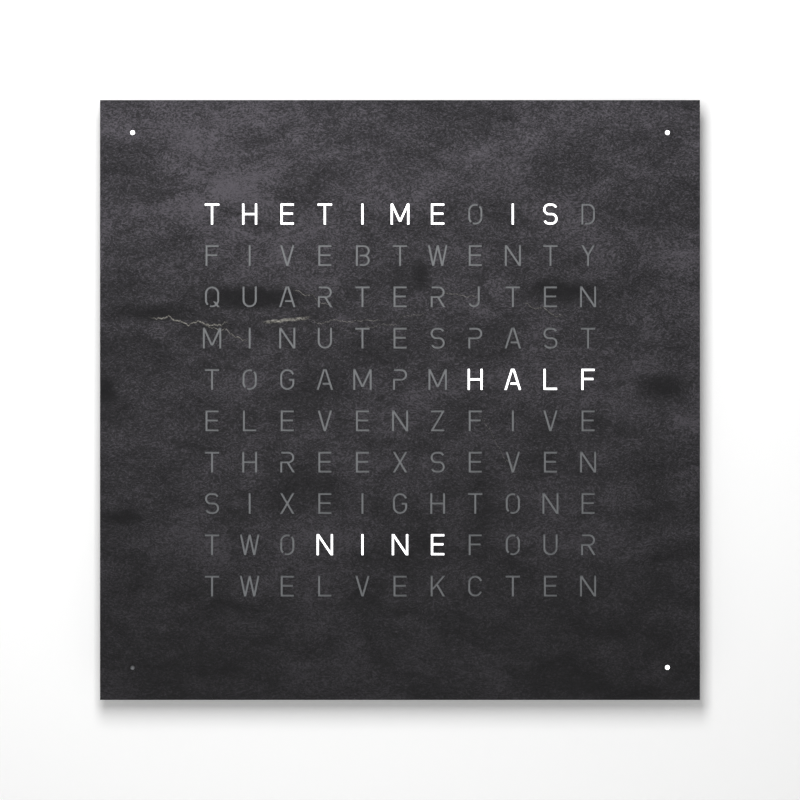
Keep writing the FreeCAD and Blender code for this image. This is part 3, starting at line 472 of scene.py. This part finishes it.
@dataclass(frozen=True)
class Straight:
    """A straight stroke with level ends, from its low end to its high end, in mm."""

    low: tuple[float, float]
    high: tuple[float, float]
    width: float = STROKE

    def cut(self, mesh: bmesh.types.BMesh, place: Matrix, depth: float) -> None:
        """Add this stroke's cutter, a sheared block, to a mesh.

        Args:
            mesh: The cutter mesh.
            place: The letter's place, in metres.
            depth: The cutter's length along Y in metres.
        """
        rise = (self.high[1] - self.low[1]) * MM
        lean = (self.high[0] - self.low[0]) * MM / rise
        across = self.width * MM * math.hypot(1.0, lean)
        middle = Vector(((self.low[0] + self.high[0]) / 2, 0, (self.low[1] + self.high[1]) / 2))
        shear = Matrix.Identity(4)
        shear[0][2] = lean
        bmesh.ops.create_cube(mesh, size=1.0, matrix=(
            place @ Matrix.Translation(middle * MM) @ shear
            @ Matrix.Diagonal((across, depth, rise, 1.0))))


@dataclass(frozen=True)
class Bow:
    """A curved stroke: centre and radius in mm, and the angles it runs between."""

    centre: tuple[float, float]
    radius: float
    start: float
    end: float

    def cut(self, mesh: bmesh.types.BMesh, place: Matrix, depth: float) -> None:
        """Add this stroke's cutter, a spun slab, to a mesh.

        Args:
            mesh: The cutter mesh.
            place: The letter's place, in metres.
            depth: The cutter's length along Y in metres.
        """
        centre = place @ (Vector((self.centre[0], 0, self.centre[1])) * MM)
        start, end = (math.radians(angle) for angle in (self.start, self.end))
        section = bmesh.ops.create_grid(
            mesh, x_segments=1, y_segments=1, size=0.5,
            matrix=(Matrix.Translation(centre) @ Matrix.Rotation(-start, 4, "Y")
                    @ Matrix.Translation((self.radius * MM, 0, 0))
                    @ Matrix.Diagonal((STROKE * MM, depth, 1.0, 1.0))))["verts"]
        faces = list({face for vertex in section for face in vertex.link_faces})
        edges = list({edge for face in faces for edge in face.edges})
        steps = max(3, round(abs(self.end - self.start) / 9))
        bmesh.ops.spin(mesh, geom=section + edges + faces, cent=centre, axis=(0, 1, 0),
                       dvec=(0, 0, 0), angle=start - end, steps=steps, use_merge=False,
                       use_normal_flip=False, use_duplicate=False)


def upright(x: float, low: float = -CAP, high: float = CAP) -> Straight:
    """Return an upright stroke at x."""
    return Straight((x, low), (x, high))


def level(z: float, left: float, right: float) -> Straight:
    """Return a level stroke whose middle line is at z."""
    middle = (left + right) / 2
    return Straight((middle, z - STROKE / 2), (middle, z + STROKE / 2), right - left)


def slant(low: tuple[float, float], high: tuple[float, float]) -> Straight:
    """Return a slanted stroke between two points."""
    return Straight(low, high)


P_STROKES = (level(TOP, -4.5, 0.9), Bow((0.9, 3.48), 3.6, 90, -90), level(-0.12, -4.5, 0.9),
             upright(-4.5, -CAP, 0.6))

# Each letter's strokes. A closed counter keeps a bridge of stone, as in any stencil
GLYPHS: dict[str, tuple[Straight | Bow, ...]] = {
    "A": (slant((-5.43, -CAP), (-0.5, CAP)), slant((5.43, -CAP), (0.5, CAP)),
          level(-3.2, -1.7, 3.97)),
    "B": (upright(-4.2), level(TOP, -4.2, 1.2), Bow((1.2, 3.55), 3.5, 90, -90),
          level(0, -2.1, 1.2), Bow((1.2, -3.55), 3.5, 90, -90), level(-TOP, -2.1, 1.2)),
    "C": (Bow((0, ROUND_TOP), ROUND, 15, 180), upright(-ROUND, -ROUND_TOP, ROUND_TOP),
          Bow((0, -ROUND_TOP), ROUND, 180, 340)),
    "D": (upright(-4.3), level(TOP, -4.3, 0), Bow((0, 2.675), 4.4, 90, 0),
          upright(4.4, -2.675, 2.675), Bow((0, -2.675), 4.4, 0, -90), level(-TOP, -2.2, 0)),
    "E": (upright(-4.17), level(TOP, -4.17, 4.95), level(0.3, -4.17, 4.3),
          level(-TOP, -4.17, 4.95)),
    "F": (upright(-4.17), level(TOP, -4.17, 4.95), level(0.3, -4.17, 4.0)),
    "G": (Bow((0, ROUND_TOP), ROUND, 15, 180), upright(-ROUND, -ROUND_TOP, ROUND_TOP),
          Bow((0, -ROUND_TOP), ROUND, 180, 360), upright(ROUND, -ROUND_TOP, 0.5),
          level(-0.2, 1.2, ROUND)),
    "H": (upright(-4.8), upright(4.8), level(0, -4.8, 4.8)),
    "I": (upright(0),),
    "J": (upright(2.6, -3.48, CAP), Bow((-1.0, -3.48), 3.6, 0, -160)),
    "K": (upright(-4.5), slant((-4.0, -2.6), (4.9, CAP)), slant((4.75, -CAP), (-0.5, 1.2))),
    "L": (upright(-4.3), level(-TOP, -4.3, 5.0)),
    "M": (upright(-6.17), upright(6.17), slant((0, -5.6), (-6.17, CAP)),
          slant((0, -5.6), (6.17, CAP))),
    "N": (upright(-5.3), upright(5.3), slant((5.3, -CAP), (-5.3, CAP))),
    "O": (Bow((0, ROUND_TOP), ROUND, 66, 180), upright(-ROUND, -ROUND_TOP, ROUND_TOP),
          Bow((0, -ROUND_TOP), ROUND, 180, 228), Bow((0, -ROUND_TOP), ROUND, 246, 360),
          upright(ROUND, -ROUND_TOP, ROUND_TOP), Bow((0, ROUND_TOP), ROUND, 0, 48)),
    "P": P_STROKES,
    "Q": (Bow((0, ROUND_TOP), ROUND, 0, 180), upright(-ROUND, -ROUND_TOP, ROUND_TOP),
          Bow((0, -ROUND_TOP), ROUND, 180, 228), Bow((0, -ROUND_TOP), ROUND, 250, 360),
          upright(ROUND, -ROUND_TOP, ROUND_TOP), slant((5.0, -CAP), (1.6, -3.4))),
    "R": P_STROKES + (slant((4.9, -CAP), (0.2, -0.12)),),
    "S": (Bow((1.0, LOBE), LOBE, 25, 90), level(TOP, -1.0, 1.0), Bow((-1.0, LOBE), LOBE, 90, 270),
          level(0, -1.0, 1.0), Bow((1.0, -LOBE), LOBE, 90, -90), level(-TOP, -1.0, 1.0),
          Bow((-1.0, -LOBE), LOBE, 205, 270)),
    "T": (level(TOP, -5.4, 5.4), upright(0)),
    "U": (upright(-4.6, -2.475), Bow((0, -2.475), 4.6, 180, 360), upright(4.6, -2.475)),
    "V": (slant((0, -CAP), (-4.6, CAP)), slant((0, -CAP), (4.6, CAP))),
    "W": (slant((-3.4, -CAP), (-6.6, CAP)), slant((-3.4, -CAP), (0, CAP)),
          slant((3.4, -CAP), (0, CAP)), slant((3.4, -CAP), (6.6, CAP))),
    "X": (slant((-4.6, -CAP), (4.6, CAP)), slant((4.6, -CAP), (-4.6, CAP))),
    "Y": (slant((0, 0.2), (-4.3, CAP)), slant((0, 0.2), (4.3, CAP)), upright(0, -CAP, 0.9)),
    "Z": (level(TOP, -5.0, 5.0), level(-TOP, -5.0, 5.0), slant((-4.2, -TOP), (4.2, TOP))),
}

LETTER_ROWS = ("THETIMEOISD", "FIVEBTWENTY", "QUARTERJTEN", "MINUTESPAST", "TOGAMPMHALF",
               "ELEVENZFIVE", "THREEXSEVEN", "SIXEIGHTONE", "TWONINEFOUR", "TWELVEKCTEN")
# Row, first column and the column after the last, of each lit word
LIT_WORDS = ((0, 0, 7), (0, 8, 10), (4, 7, 11), (8, 3, 7))


def cell_middle(row: int, column: int) -> Vector:
    """Return the middle of a letter's cell in metres, on the wall plane."""
    return Vector(((column - MIDDLE_COLUMN) * COLUMN_PITCH, 0,
                   (MIDDLE_ROW - row) * ROW_PITCH)) * MM


def is_lit(row: int, column: int) -> bool:
    """Say whether a letter belongs to a lit word."""
    return any(row == r and first <= column < last for r, first, last in LIT_WORDS)


# Mesh helpers


def finish_mesh(mesh: bmesh.types.BMesh, name: str, smooth: bool = False) -> bpy.types.Object:
    """Turn a mesh under work into an object with outward normals.

    Args:
        mesh: The mesh, which is freed.
        name: The piece's name.
        smooth: Whether its faces are shaded smooth.

    Returns:
        The new object, linked to the scene.
    """
    bmesh.ops.recalc_face_normals(mesh, faces=mesh.faces)
    for face in mesh.faces:
        face.smooth = smooth
    data = bpy.data.meshes.new(name)
    mesh.to_mesh(data)
    mesh.free()
    piece = bpy.data.objects.new(name, data)
    bpy.context.scene.collection.objects.link(piece)
    return piece


def carve(piece: bpy.types.Object, cutters: list[bmesh.types.BMesh]) -> None:
    """Cut a piece with one cutter mesh after another and keep the result.

    Args:
        piece: The closed piece to cut.
        cutters: Closed meshes whose parts don't overlap each other, freed here.
    """
    for cutter in cutters:
        tool = finish_mesh(cutter, "cutter")
        modifier = piece.modifiers.new("cut", "BOOLEAN")
        modifier.operation = "DIFFERENCE"
        modifier.solver = "MANIFOLD"
        modifier.object = tool
        bpy.context.view_layer.update()
        result = bpy.data.meshes.new_from_object(
            piece.evaluated_get(bpy.context.evaluated_depsgraph_get()))
        piece.modifiers.remove(modifier)
        used = piece.data
        piece.data = result
        bpy.data.meshes.remove(used)
        bpy.data.objects.remove(tool)
    piece.data.materials.clear()


def bevel_edges(mesh: bmesh.types.BMesh, edges: list[bmesh.types.BMEdge], width: float,
                segments: int = 2) -> None:
    """Round edges by a width in metres."""
    bmesh.ops.bevel(mesh, geom=edges, offset=width, offset_type="OFFSET", segments=segments,
                    profile=0.5, affect="EDGES", material=-1)


def add_block(mesh: bmesh.types.BMesh, low: Vector, high: Vector, bevel: float) -> None:
    """Add a block with rounded edges between two corners, all in metres."""
    size = high - low
    verts = bmesh.ops.create_cube(mesh, size=1.0, matrix=(
        Matrix.Translation((low + high) / 2) @ Matrix.Diagonal((*size, 1.0))))["verts"]
    bevel_edges(mesh, list({edge for vertex in verts for edge in vertex.link_edges}), bevel)


def report(piece: bpy.types.Object) -> None:
    """Log a finished piece's name and face count."""
    LOG.info("%s has %d faces", piece.name, len(piece.data.polygons))


# Face


@dataclass(frozen=True)
class StoneFace:
    """The slate veneer: a split surface, a bevelled rim, letters and four corner holes."""

    half: float = FACE_HALF
    front: float = FACE_FRONT
    back: float = -22.2 * MM
    rim: float = 0.4 * MM
    relief: float = 0.42 * MM
    segments: int = 232
    hole_radius: float = 1.75 * MM
    hole_place: float = 200.6 * MM

    def build(self) -> bpy.types.Object:
        """Build the stone and cut its letters.

        Returns:
            The finished stone face.
        """
        mesh = bmesh.new()
        flat = self.half - self.rim
        bmesh.ops.create_grid(mesh, x_segments=self.segments, y_segments=self.segments, size=flat,
                              matrix=Matrix.Rotation(math.pi / 2, 4, "X"))
        for vertex in mesh.verts:
            vertex.co.y = self.front + self.cleft(vertex.co.x, vertex.co.z)
        self._rim(mesh)
        piece = finish_mesh(mesh, "carved_stone_face")
        carve(piece, self._cutters())
        piece.data.materials.append(Slate().material())
        piece.data.shade_smooth()
        piece.data.set_sharp_from_angle(angle=math.radians(38))
        return piece

    def cleft(self, x: float, z: float) -> float:
        """Return how far the split surface lies behind its highest points.

        Args:
            x: Across, in metres.
            z: Up, in metres.

        Returns:
            A depth from 0 to the relief.
        """
        # Waves per metre: broad swells, and finer steps where a layer has split off
        bend = noise.noise(Vector((x, 0, z)) * 18)
        broad = noise.fractal(Vector((x * 13, 3.0, z * 22 + bend)), 0.9, 2.1, 4)
        steps = noise.fractal(Vector((x * 40, 9.0, z * 85 + bend * 2)), 0.7, 2.2, 4)
        ledge = math.tanh(3.5 * steps)
        height = 0.5 + 0.34 * broad + 0.16 * ledge
        return self.relief * (1 - min(1.0, max(0.0, height)))

    def _rim(self, mesh: bmesh.types.BMesh) -> None:
        """Close the sheet with its bevelled rim, its sides and its back."""
        edges = [edge for edge in mesh.edges if edge.is_boundary]
        for step in ("bevel", "side"):
            made = bmesh.ops.extrude_edge_only(mesh, edges=edges)["geom"]
            edges = [item for item in made if isinstance(item, bmesh.types.BMEdge)]
            for vertex in [item for item in made if isinstance(item, bmesh.types.BMVert)]:
                if step == "bevel":
                    grow = self.half / (self.half - self.rim)
                    vertex.co.x *= grow
                    vertex.co.z *= grow
                    vertex.co.y += self.rim
                else:
                    vertex.co.y = self.back
        bmesh.ops.edgeloop_fill(mesh, edges=edges)

    def _cutters(self) -> list[bmesh.types.BMesh]:
        """Return cutter meshes, each with at most one stroke of every letter."""
        count = max(len(strokes) for strokes in GLYPHS.values())
        layers = [bmesh.new() for _ in range(count)]
        depth = 4 * (self.back - self.front)
        middle = Vector((0, (self.front + self.back) / 2, 0))
        for row, letters in enumerate(LETTER_ROWS):
            for column, letter in enumerate(letters):
                place = Matrix.Translation(cell_middle(row, column) + middle)
                for layer, stroke in zip(layers, GLYPHS[letter]):
                    stroke.cut(layer, place, depth)
        for x in (-self.hole_place, self.hole_place):
            for z in (-self.hole_place, self.hole_place):
                bmesh.ops.create_cone(
                    layers[0], cap_ends=True, segments=32, radius1=self.hole_radius,
                    radius2=self.hole_radius, depth=depth,
                    matrix=(Matrix.Translation(middle + Vector((x, 0, z)))
                            @ Matrix.Rotation(math.pi / 2, 4, "X")))
        return layers


@dataclass(frozen=True)
class Diffuser:
    """The opal sheet behind the letters, lit cell by cell by the lights below it."""

    half: float = 158 * MM
    front: float = -20.2 * MM
    back: float = -18.7 * MM
    edge: float = 0.15 * MM

    def build(self) -> bpy.types.Object:
        """Build the sheet with a lit or a dim finish for each cell.

        Returns:
            The sheet.
        """
        mesh = bmesh.new()
        columns, rows = len(LETTER_ROWS[0]), len(LETTER_ROWS)
        bmesh.ops.create_grid(
            mesh, x_segments=columns, y_segments=rows, size=0.5,
            matrix=(Matrix.Translation((0, self.back, 0)) @ Matrix.Rotation(math.pi / 2, 4, "X")
                    @ Matrix.Diagonal((columns * COLUMN_PITCH * MM, rows * ROW_PITCH * MM, 1, 1))))
        for face in mesh.faces:
            face.material_index = self._finish_of(face.calc_center_median())
        rim = bmesh.ops.extrude_edge_only(
            mesh, edges=[edge for edge in mesh.edges if edge.is_boundary])["geom"]
        for vertex in [item for item in rim if isinstance(item, bmesh.types.BMVert)]:
            reach = max(abs(vertex.co.x), abs(vertex.co.z))
            for axis in (0, 2):
                if abs(vertex.co[axis]) > reach - 1 * MM:
                    vertex.co[axis] = math.copysign(self.half, vertex.co[axis])
        made = bmesh.ops.extrude_face_region(mesh, geom=mesh.faces[:], use_keep_orig=True)["geom"]
        bmesh.ops.translate(mesh, vec=(0, self.front - self.back, 0),
                            verts=[item for item in made if isinstance(item, bmesh.types.BMVert)])
        bmesh.ops.recalc_face_normals(mesh, faces=mesh.faces)
        sharp = [edge for edge in mesh.edges if edge.calc_face_angle(0.0) > 1.0]
        bevel_edges(mesh, sharp, self.edge)
        piece = finish_mesh(mesh, "opal_sheet")
        for finish in (Finish.OPAL, Finish.OPAL_LIT):
            piece.data.materials.append(finish.value.material())
        return piece

    @staticmethod
    def _finish_of(middle: Vector) -> int:
        """Return 1 for a lit cell and 0 for a dim one."""
        column = round(middle.x / (COLUMN_PITCH * MM) + MIDDLE_COLUMN)
        row = round(MIDDLE_ROW - middle.z / (ROW_PITCH * MM))
        return int(is_lit(row, column))


@dataclass(frozen=True)
class LetterFilm:
    """Films bonded to the back of the stone, one in each window of the steel carrier."""

    width: float = 22.4 * MM
    height: float = 24.4 * MM
    front: float = -22.18 * MM
    back: float = -21.85 * MM
    edge: float = 0.06 * MM

    def build(self, lit: bool) -> bpy.types.Object:
        """Build the films of the lit words, or all the others.

        Args:
            lit: Whether to build those of the lit words.

        Returns:
            The films as one piece.
        """
        mesh = bmesh.new()
        half = Vector((self.width / 2, 0, self.height / 2))
        for row, letters in enumerate(LETTER_ROWS):
            for column in range(len(letters)):
                if is_lit(row, column) == lit:
                    middle = cell_middle(row, column)
                    add_block(mesh, middle - half + Vector((0, self.front, 0)),
                              middle + half + Vector((0, self.back, 0)), self.edge)
        piece = finish_mesh(mesh, "letter_films_lit" if lit else "letter_films_dim")
        # the dim films carry a faint painted glow
        finish = Finish.FILM_LIT if lit else Finish.FILM_PAINTED_GLOW
        piece.data.materials.append(finish.value.material())
        return piece


@dataclass(frozen=True)
class LightPipe:
    """A square acrylic rod that carries a corner light to its hole in the face."""

    across: float
    up: float
    lit: bool
    side: float = 4 * MM
    back: float = -9.9 * MM
    front: float = -20.7 * MM
    edge: float = 0.25 * MM
    shoulder: float = 0.3 * MM
    dome: float = 0.6 * MM
    dome_share: float = 0.96

    def build(self, name: str) -> bpy.types.Object:
        """Build the rod with a domed front end.

        Args:
            name: The piece's name.

        Returns:
            The rod.
        """
        mesh = bmesh.new()
        half = self.side / 2
        add_block(mesh, Vector((self.across - half, self.front + self.shoulder, self.up - half)),
                  Vector((self.across + half, self.back, self.up + half)), self.edge)
        wide = half * self.dome_share
        bmesh.ops.create_uvsphere(mesh, u_segments=32, v_segments=16, radius=1.0, matrix=(
            Matrix.Translation((self.across, self.front + self.dome, self.up))
            @ Matrix.Diagonal((wide, self.dome, wide, 1.0))))
        piece = finish_mesh(mesh, name)
        finish = Finish.OPAL_LIT if self.lit else Finish.PIPE
        piece.data.materials.append(finish.value.material())
        return piece


# Back: screws that hold the hanger plates


@dataclass(frozen=True)
class HangerScrew:
    """A flat pan head with a cross recess, seated on a hanger plate."""

    across: float
    up: float
    seat: float = -1.0 * MM
    height: float = 0.78 * MM
    radius: float = 2.75 * MM
    taper: float = 0.94
    edge: float = 0.28 * MM
    recess_length: float = 2.9 * MM
    recess_width: float = 0.62 * MM
    recess_depth: float = 1.0 * MM
    recess_turn: float = 27.0

    def build(self, name: str) -> bpy.types.Object:
        """Build the head and cut its recess.

        Args:
            name: The piece's name.

        Returns:
            The screw head.
        """
        mesh = bmesh.new()
        bmesh.ops.create_cone(
            mesh, cap_ends=True, segments=40, radius1=self.radius,
            radius2=self.radius * self.taper, depth=self.height,
            matrix=(Matrix.Translation((self.across, self.seat + self.height / 2, self.up))
                    @ Matrix.Rotation(-math.pi / 2, 4, "X")))
        top = [edge for edge in mesh.edges
               if all(v.co.y > self.seat + self.height * 0.9 for v in edge.verts)]
        bevel_edges(mesh, top, self.edge, 3)
        piece = finish_mesh(mesh, name)
        cutters = []
        for wide, high in ((self.recess_length, self.recess_width),
                           (self.recess_width, self.recess_length)):
            cutter = bmesh.new()
            bmesh.ops.create_cube(cutter, size=1.0, matrix=(
                Matrix.Translation((self.across, self.seat + self.height, self.up))
                @ Matrix.Rotation(math.radians(self.recess_turn), 4, "Y")
                @ Matrix.Diagonal((wide, self.recess_depth, high, 1.0))))
            cutters.append(cutter)
        carve(piece, cutters)
        piece.data.shade_smooth()
        piece.data.set_sharp_from_angle(angle=math.radians(35))
        piece.data.materials.append(Finish.ZINC.value.material())
        return piece


# What each piece of the frame is made of

NODE_FINISHES: dict[Finish, tuple[str, ...]] = {
    Finish.CARRIER: ("face_carrier",),
    Finish.NICKEL: ("locating_pins", "magnets", "socket_nut", "socket_pin", "coin_cell"),
    Finish.CASING: ("rear_casing", "cable_bay", "hanger_cup_left", "hanger_cup_right"),
    Finish.FRAME: ("front_frame",),
    Finish.GRID: ("light_grid",),
    Finish.MASK_WHITE: ("upper_letter_board", "lower_letter_board"),
    Finish.PHOSPHOR: ("upper_letter_lights", "lower_letter_lights", "minute_lights"),
    Finish.EPOXY: ("driver_chips", "microcontroller"),
    Finish.MASK_GREEN: ("minute_boards", "controller_board"),
    Finish.CAN: ("clock_crystal", "capacitors"),
    Finish.NYLON_BLACK: ("board_link", "coin_cell_holder", "ribbon_headers", "switch_bodies",
                         "power_socket"),
    Finish.NYLON_NATURAL: ("power_header", "hour_plunger", "minute_plunger", "mode_plunger"),
    Finish.VINYL_GREY: ("matrix_ribbon",),
    Finish.VINYL_BLACK: ("power_leads", "minute_leads"),
    Finish.BUTTON: ("hour_button", "minute_button", "mode_button"),
    Finish.SMOKED: ("sensor_window", "light_sensor"),
    Finish.ZINC: ("hanger_plate_left", "hanger_plate_right"),
}


@dataclass(frozen=True)
class WordClock:
    """The clock: the frame's pieces by name with their finishes, and the pieces made here."""

    nodes: dict[str, bpy.types.Object]
    hanger_across: float = 140 * MM
    screw_from_middle: float = 17 * MM
    screw_up: float = 186 * MM

    def build(self) -> None:
        """Dress the frame's nodes and add the made pieces."""
        self.dress()
        self.face()
        self.lights()
        self.hangers()

    def dress(self) -> None:
        """Give every node of the frame its finish."""
        for finish, names in NODE_FINISHES.items():
            for name in names:
                slots = self.nodes[name].data.materials
                slots.clear()
                slots.append(finish.value.material())

    def face(self) -> None:
        """Put the carved stone in the plain stone's place."""
        stone = StoneFace().build()
        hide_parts("stone_face")
        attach(stone, "face")
        report(stone)
        for lit in (True, False):
            films = LetterFilm().build(lit)
            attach(films, "face")
            report(films)

    def lights(self) -> None:
        """Add the opal sheet and the corner lights."""
        sheet = Diffuser().build()
        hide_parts("diffuser_sheet")
        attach(sheet, "housing")
        report(sheet)
        place = StoneFace.hole_place
        corners = {"top_left": (-place, place, True), "top_right": (place, place, True),
                   "low_right": (place, -place, True), "low_left": (-place, -place, False)}
        for name, (across, up, lit) in corners.items():
            pipe = LightPipe(across, up, lit).build("light_pipe_" + name)
            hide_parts("light_pipes")
            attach(pipe, "housing")
            report(pipe)

    def hangers(self) -> None:
        """Add the screws of the two hanger plates."""
        for side, sign in (("left", -1), ("right", 1)):
            for end, offset in (("inner", -self.screw_from_middle),
                                ("outer", self.screw_from_middle)):
                screw = HangerScrew(sign * (self.hanger_across + offset), self.screw_up).build(
                    f"hanger_screw_{side}_{end}")
                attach(screw, "housing")
                report(screw)


@dataclass(frozen=True)
class Studio:
    """A white wall, a pale floor far below, a soft key light above the camera, and the camera."""

    camera_distance: float = 4.0
    view_width: float = 0.6
    wall_glow: float = 0.2
    ambient: float = 0.15
    key_power: float = 16.0
    key_place: tuple[float, float, float] = (-0.12, -1.2, 0.53)
    key_size: tuple[float, float] = (0.46, 0.97)
    rear_power: float = 30.0
    rear_place: tuple[float, float, float] = (0.6, 2.2, 1.2)
    rear_size: tuple[float, float] = (1.6, 1.6)
    wall_gap: float = 0.5 * MM
    floor_drop: float = 1.5
    plane_half: float = 4.0

    def build(self) -> None:
        """Build the stage, the lights and the camera."""
        self._world()
        self._planes()
        self._key()
        self._rear()
        self._camera()
        scene = bpy.context.scene
        scene.view_settings.view_transform = "Standard"
        scene.view_settings.look = "None"

    def _world(self) -> None:
        """Make the surroundings white to the camera and a soft grey light to the pieces."""
        world = bpy.data.worlds.new("surroundings")
        world.use_nodes = True
        tree = world.node_tree
        tree.nodes.clear()
        path = add_node(tree, "LightPath")
        soft = add_node(tree, "Background", inputs={"Color": (1, 1, 1, 1),
                                                    "Strength": self.ambient})
        white = add_node(tree, "Background", inputs={"Color": (1, 1, 1, 1), "Strength": 1.0})
        mixed = add_node(tree, "MixShader", inputs={
            0: path.outputs["Is Camera Ray"], 1: soft.outputs[0], 2: white.outputs[0]})
        add_node(tree, "OutputWorld", inputs={0: mixed.outputs[0]})
        bpy.context.scene.world = world

    def _stage_plane(self, name: str, place: Matrix, colour: str, glow: float) -> None:
        """Add a plane of the stage, which is clear from behind and lets light through.

        Args:
            name: The plane's name.
            place: Its place and its turn. It faces its own +Z.
            colour: Its paint.
            glow: Light added to its front, as from a lit studio.
        """
        mesh = bmesh.new()
        bmesh.ops.create_grid(mesh, x_segments=1, y_segments=1, size=self.plane_half, matrix=place)
        data = bpy.data.meshes.new(name)
        mesh.to_mesh(data)
        mesh.free()
        plane = bpy.data.objects.new(name, data)
        bpy.context.scene.collection.objects.link(plane)
        material, tree, output = new_material(name + "_paint")
        path = add_node(tree, "LightPath")
        paint = add_node(tree, "BsdfDiffuse", inputs={"Color": linear(colour)})
        light = add_node(tree, "Emission", inputs={"Color": (1, 1, 1, 1), "Strength": glow})
        front = add_node(tree, "AddShader", inputs={0: paint.outputs[0], 1: light.outputs[0]})
        clear = add_node(tree, "BsdfTransparent")
        through = add_node(tree, "Math", {"operation": "MAXIMUM"}, {
            0: add_node(tree, "NewGeometry").outputs["Backfacing"],
            1: path.outputs["Is Shadow Ray"]})
        mixed = add_node(tree, "MixShader", inputs={
            0: through.outputs[0], 1: front.outputs[0], 2: clear.outputs[0]})
        tree.links.new(mixed.outputs[0], output.inputs[0])
        data.materials.append(material)

    def _planes(self) -> None:
        """Hang the wall just behind the housing and lay the floor well below it."""
        self._stage_plane("wall", Matrix.Translation((0, self.wall_gap, 0))
                          @ Matrix.Rotation(math.pi / 2, 4, "X"), "#f5f5f5", self.wall_glow)
        self._stage_plane("floor", Matrix.Translation((0, 0, -self.floor_drop)), "#eeeeec", 0.2)

    def _area(self, name: str, place: Vector, aim: Vector, size: tuple[float, float],
              power: float) -> bpy.types.Object:
        """Add a soft light that the camera doesn't see.

        Args:
            name: The light's name.
            place: Where it is.
            aim: What it points at.
            size: Its width and height.
            power: Its power in watts.

        Returns:
            The light's object.
        """
        data = bpy.data.lights.new(name, "AREA")
        data.shape = "RECTANGLE"
        data.size, data.size_y = size
        data.energy = power
        light = bpy.data.objects.new(name, data)
        light.matrix_world = (Matrix.Translation(place)
                              @ (aim - place).to_track_quat("-Z", "Y").to_matrix().to_4x4())
        light.visible_camera = False
        bpy.context.scene.collection.objects.link(light)
        return light

    def _key(self) -> None:
        """Hang the key light in front of the clock and above it."""
        place = Vector(self.key_place)
        self._area("key", place, place + Vector((0, 1, 0)), self.key_size, self.key_power)

    def _rear(self) -> None:
        """Add a weak light for views of the back."""
        self._area("rear", Vector(self.rear_place), Vector((0, 0, 0)), self.rear_size,
                   self.rear_power)

    def _camera(self) -> None:
        """Set the camera square to the face."""
        data = bpy.data.cameras.new("camera")
        distance = self.camera_distance
        data.sensor_width = 36.0
        data.lens = data.sensor_width * distance / self.view_width
        data.clip_end = 50.0
        camera = bpy.data.objects.new("camera", data)
        camera.matrix_world = (Matrix.Translation((0, FACE_FRONT - distance, 0))
                               @ Matrix.Rotation(math.pi / 2, 4, "X"))
        bpy.context.scene.collection.objects.link(camera)
        bpy.context.scene.camera = camera


def main() -> None:
    """Build the scene."""
    logging.basicConfig(level=logging.INFO, format="%(name)s: %(message)s")
    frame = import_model()
    Studio().build()
    WordClock(frame["nodes"]).build()


if __name__ == "__main__":
    main()
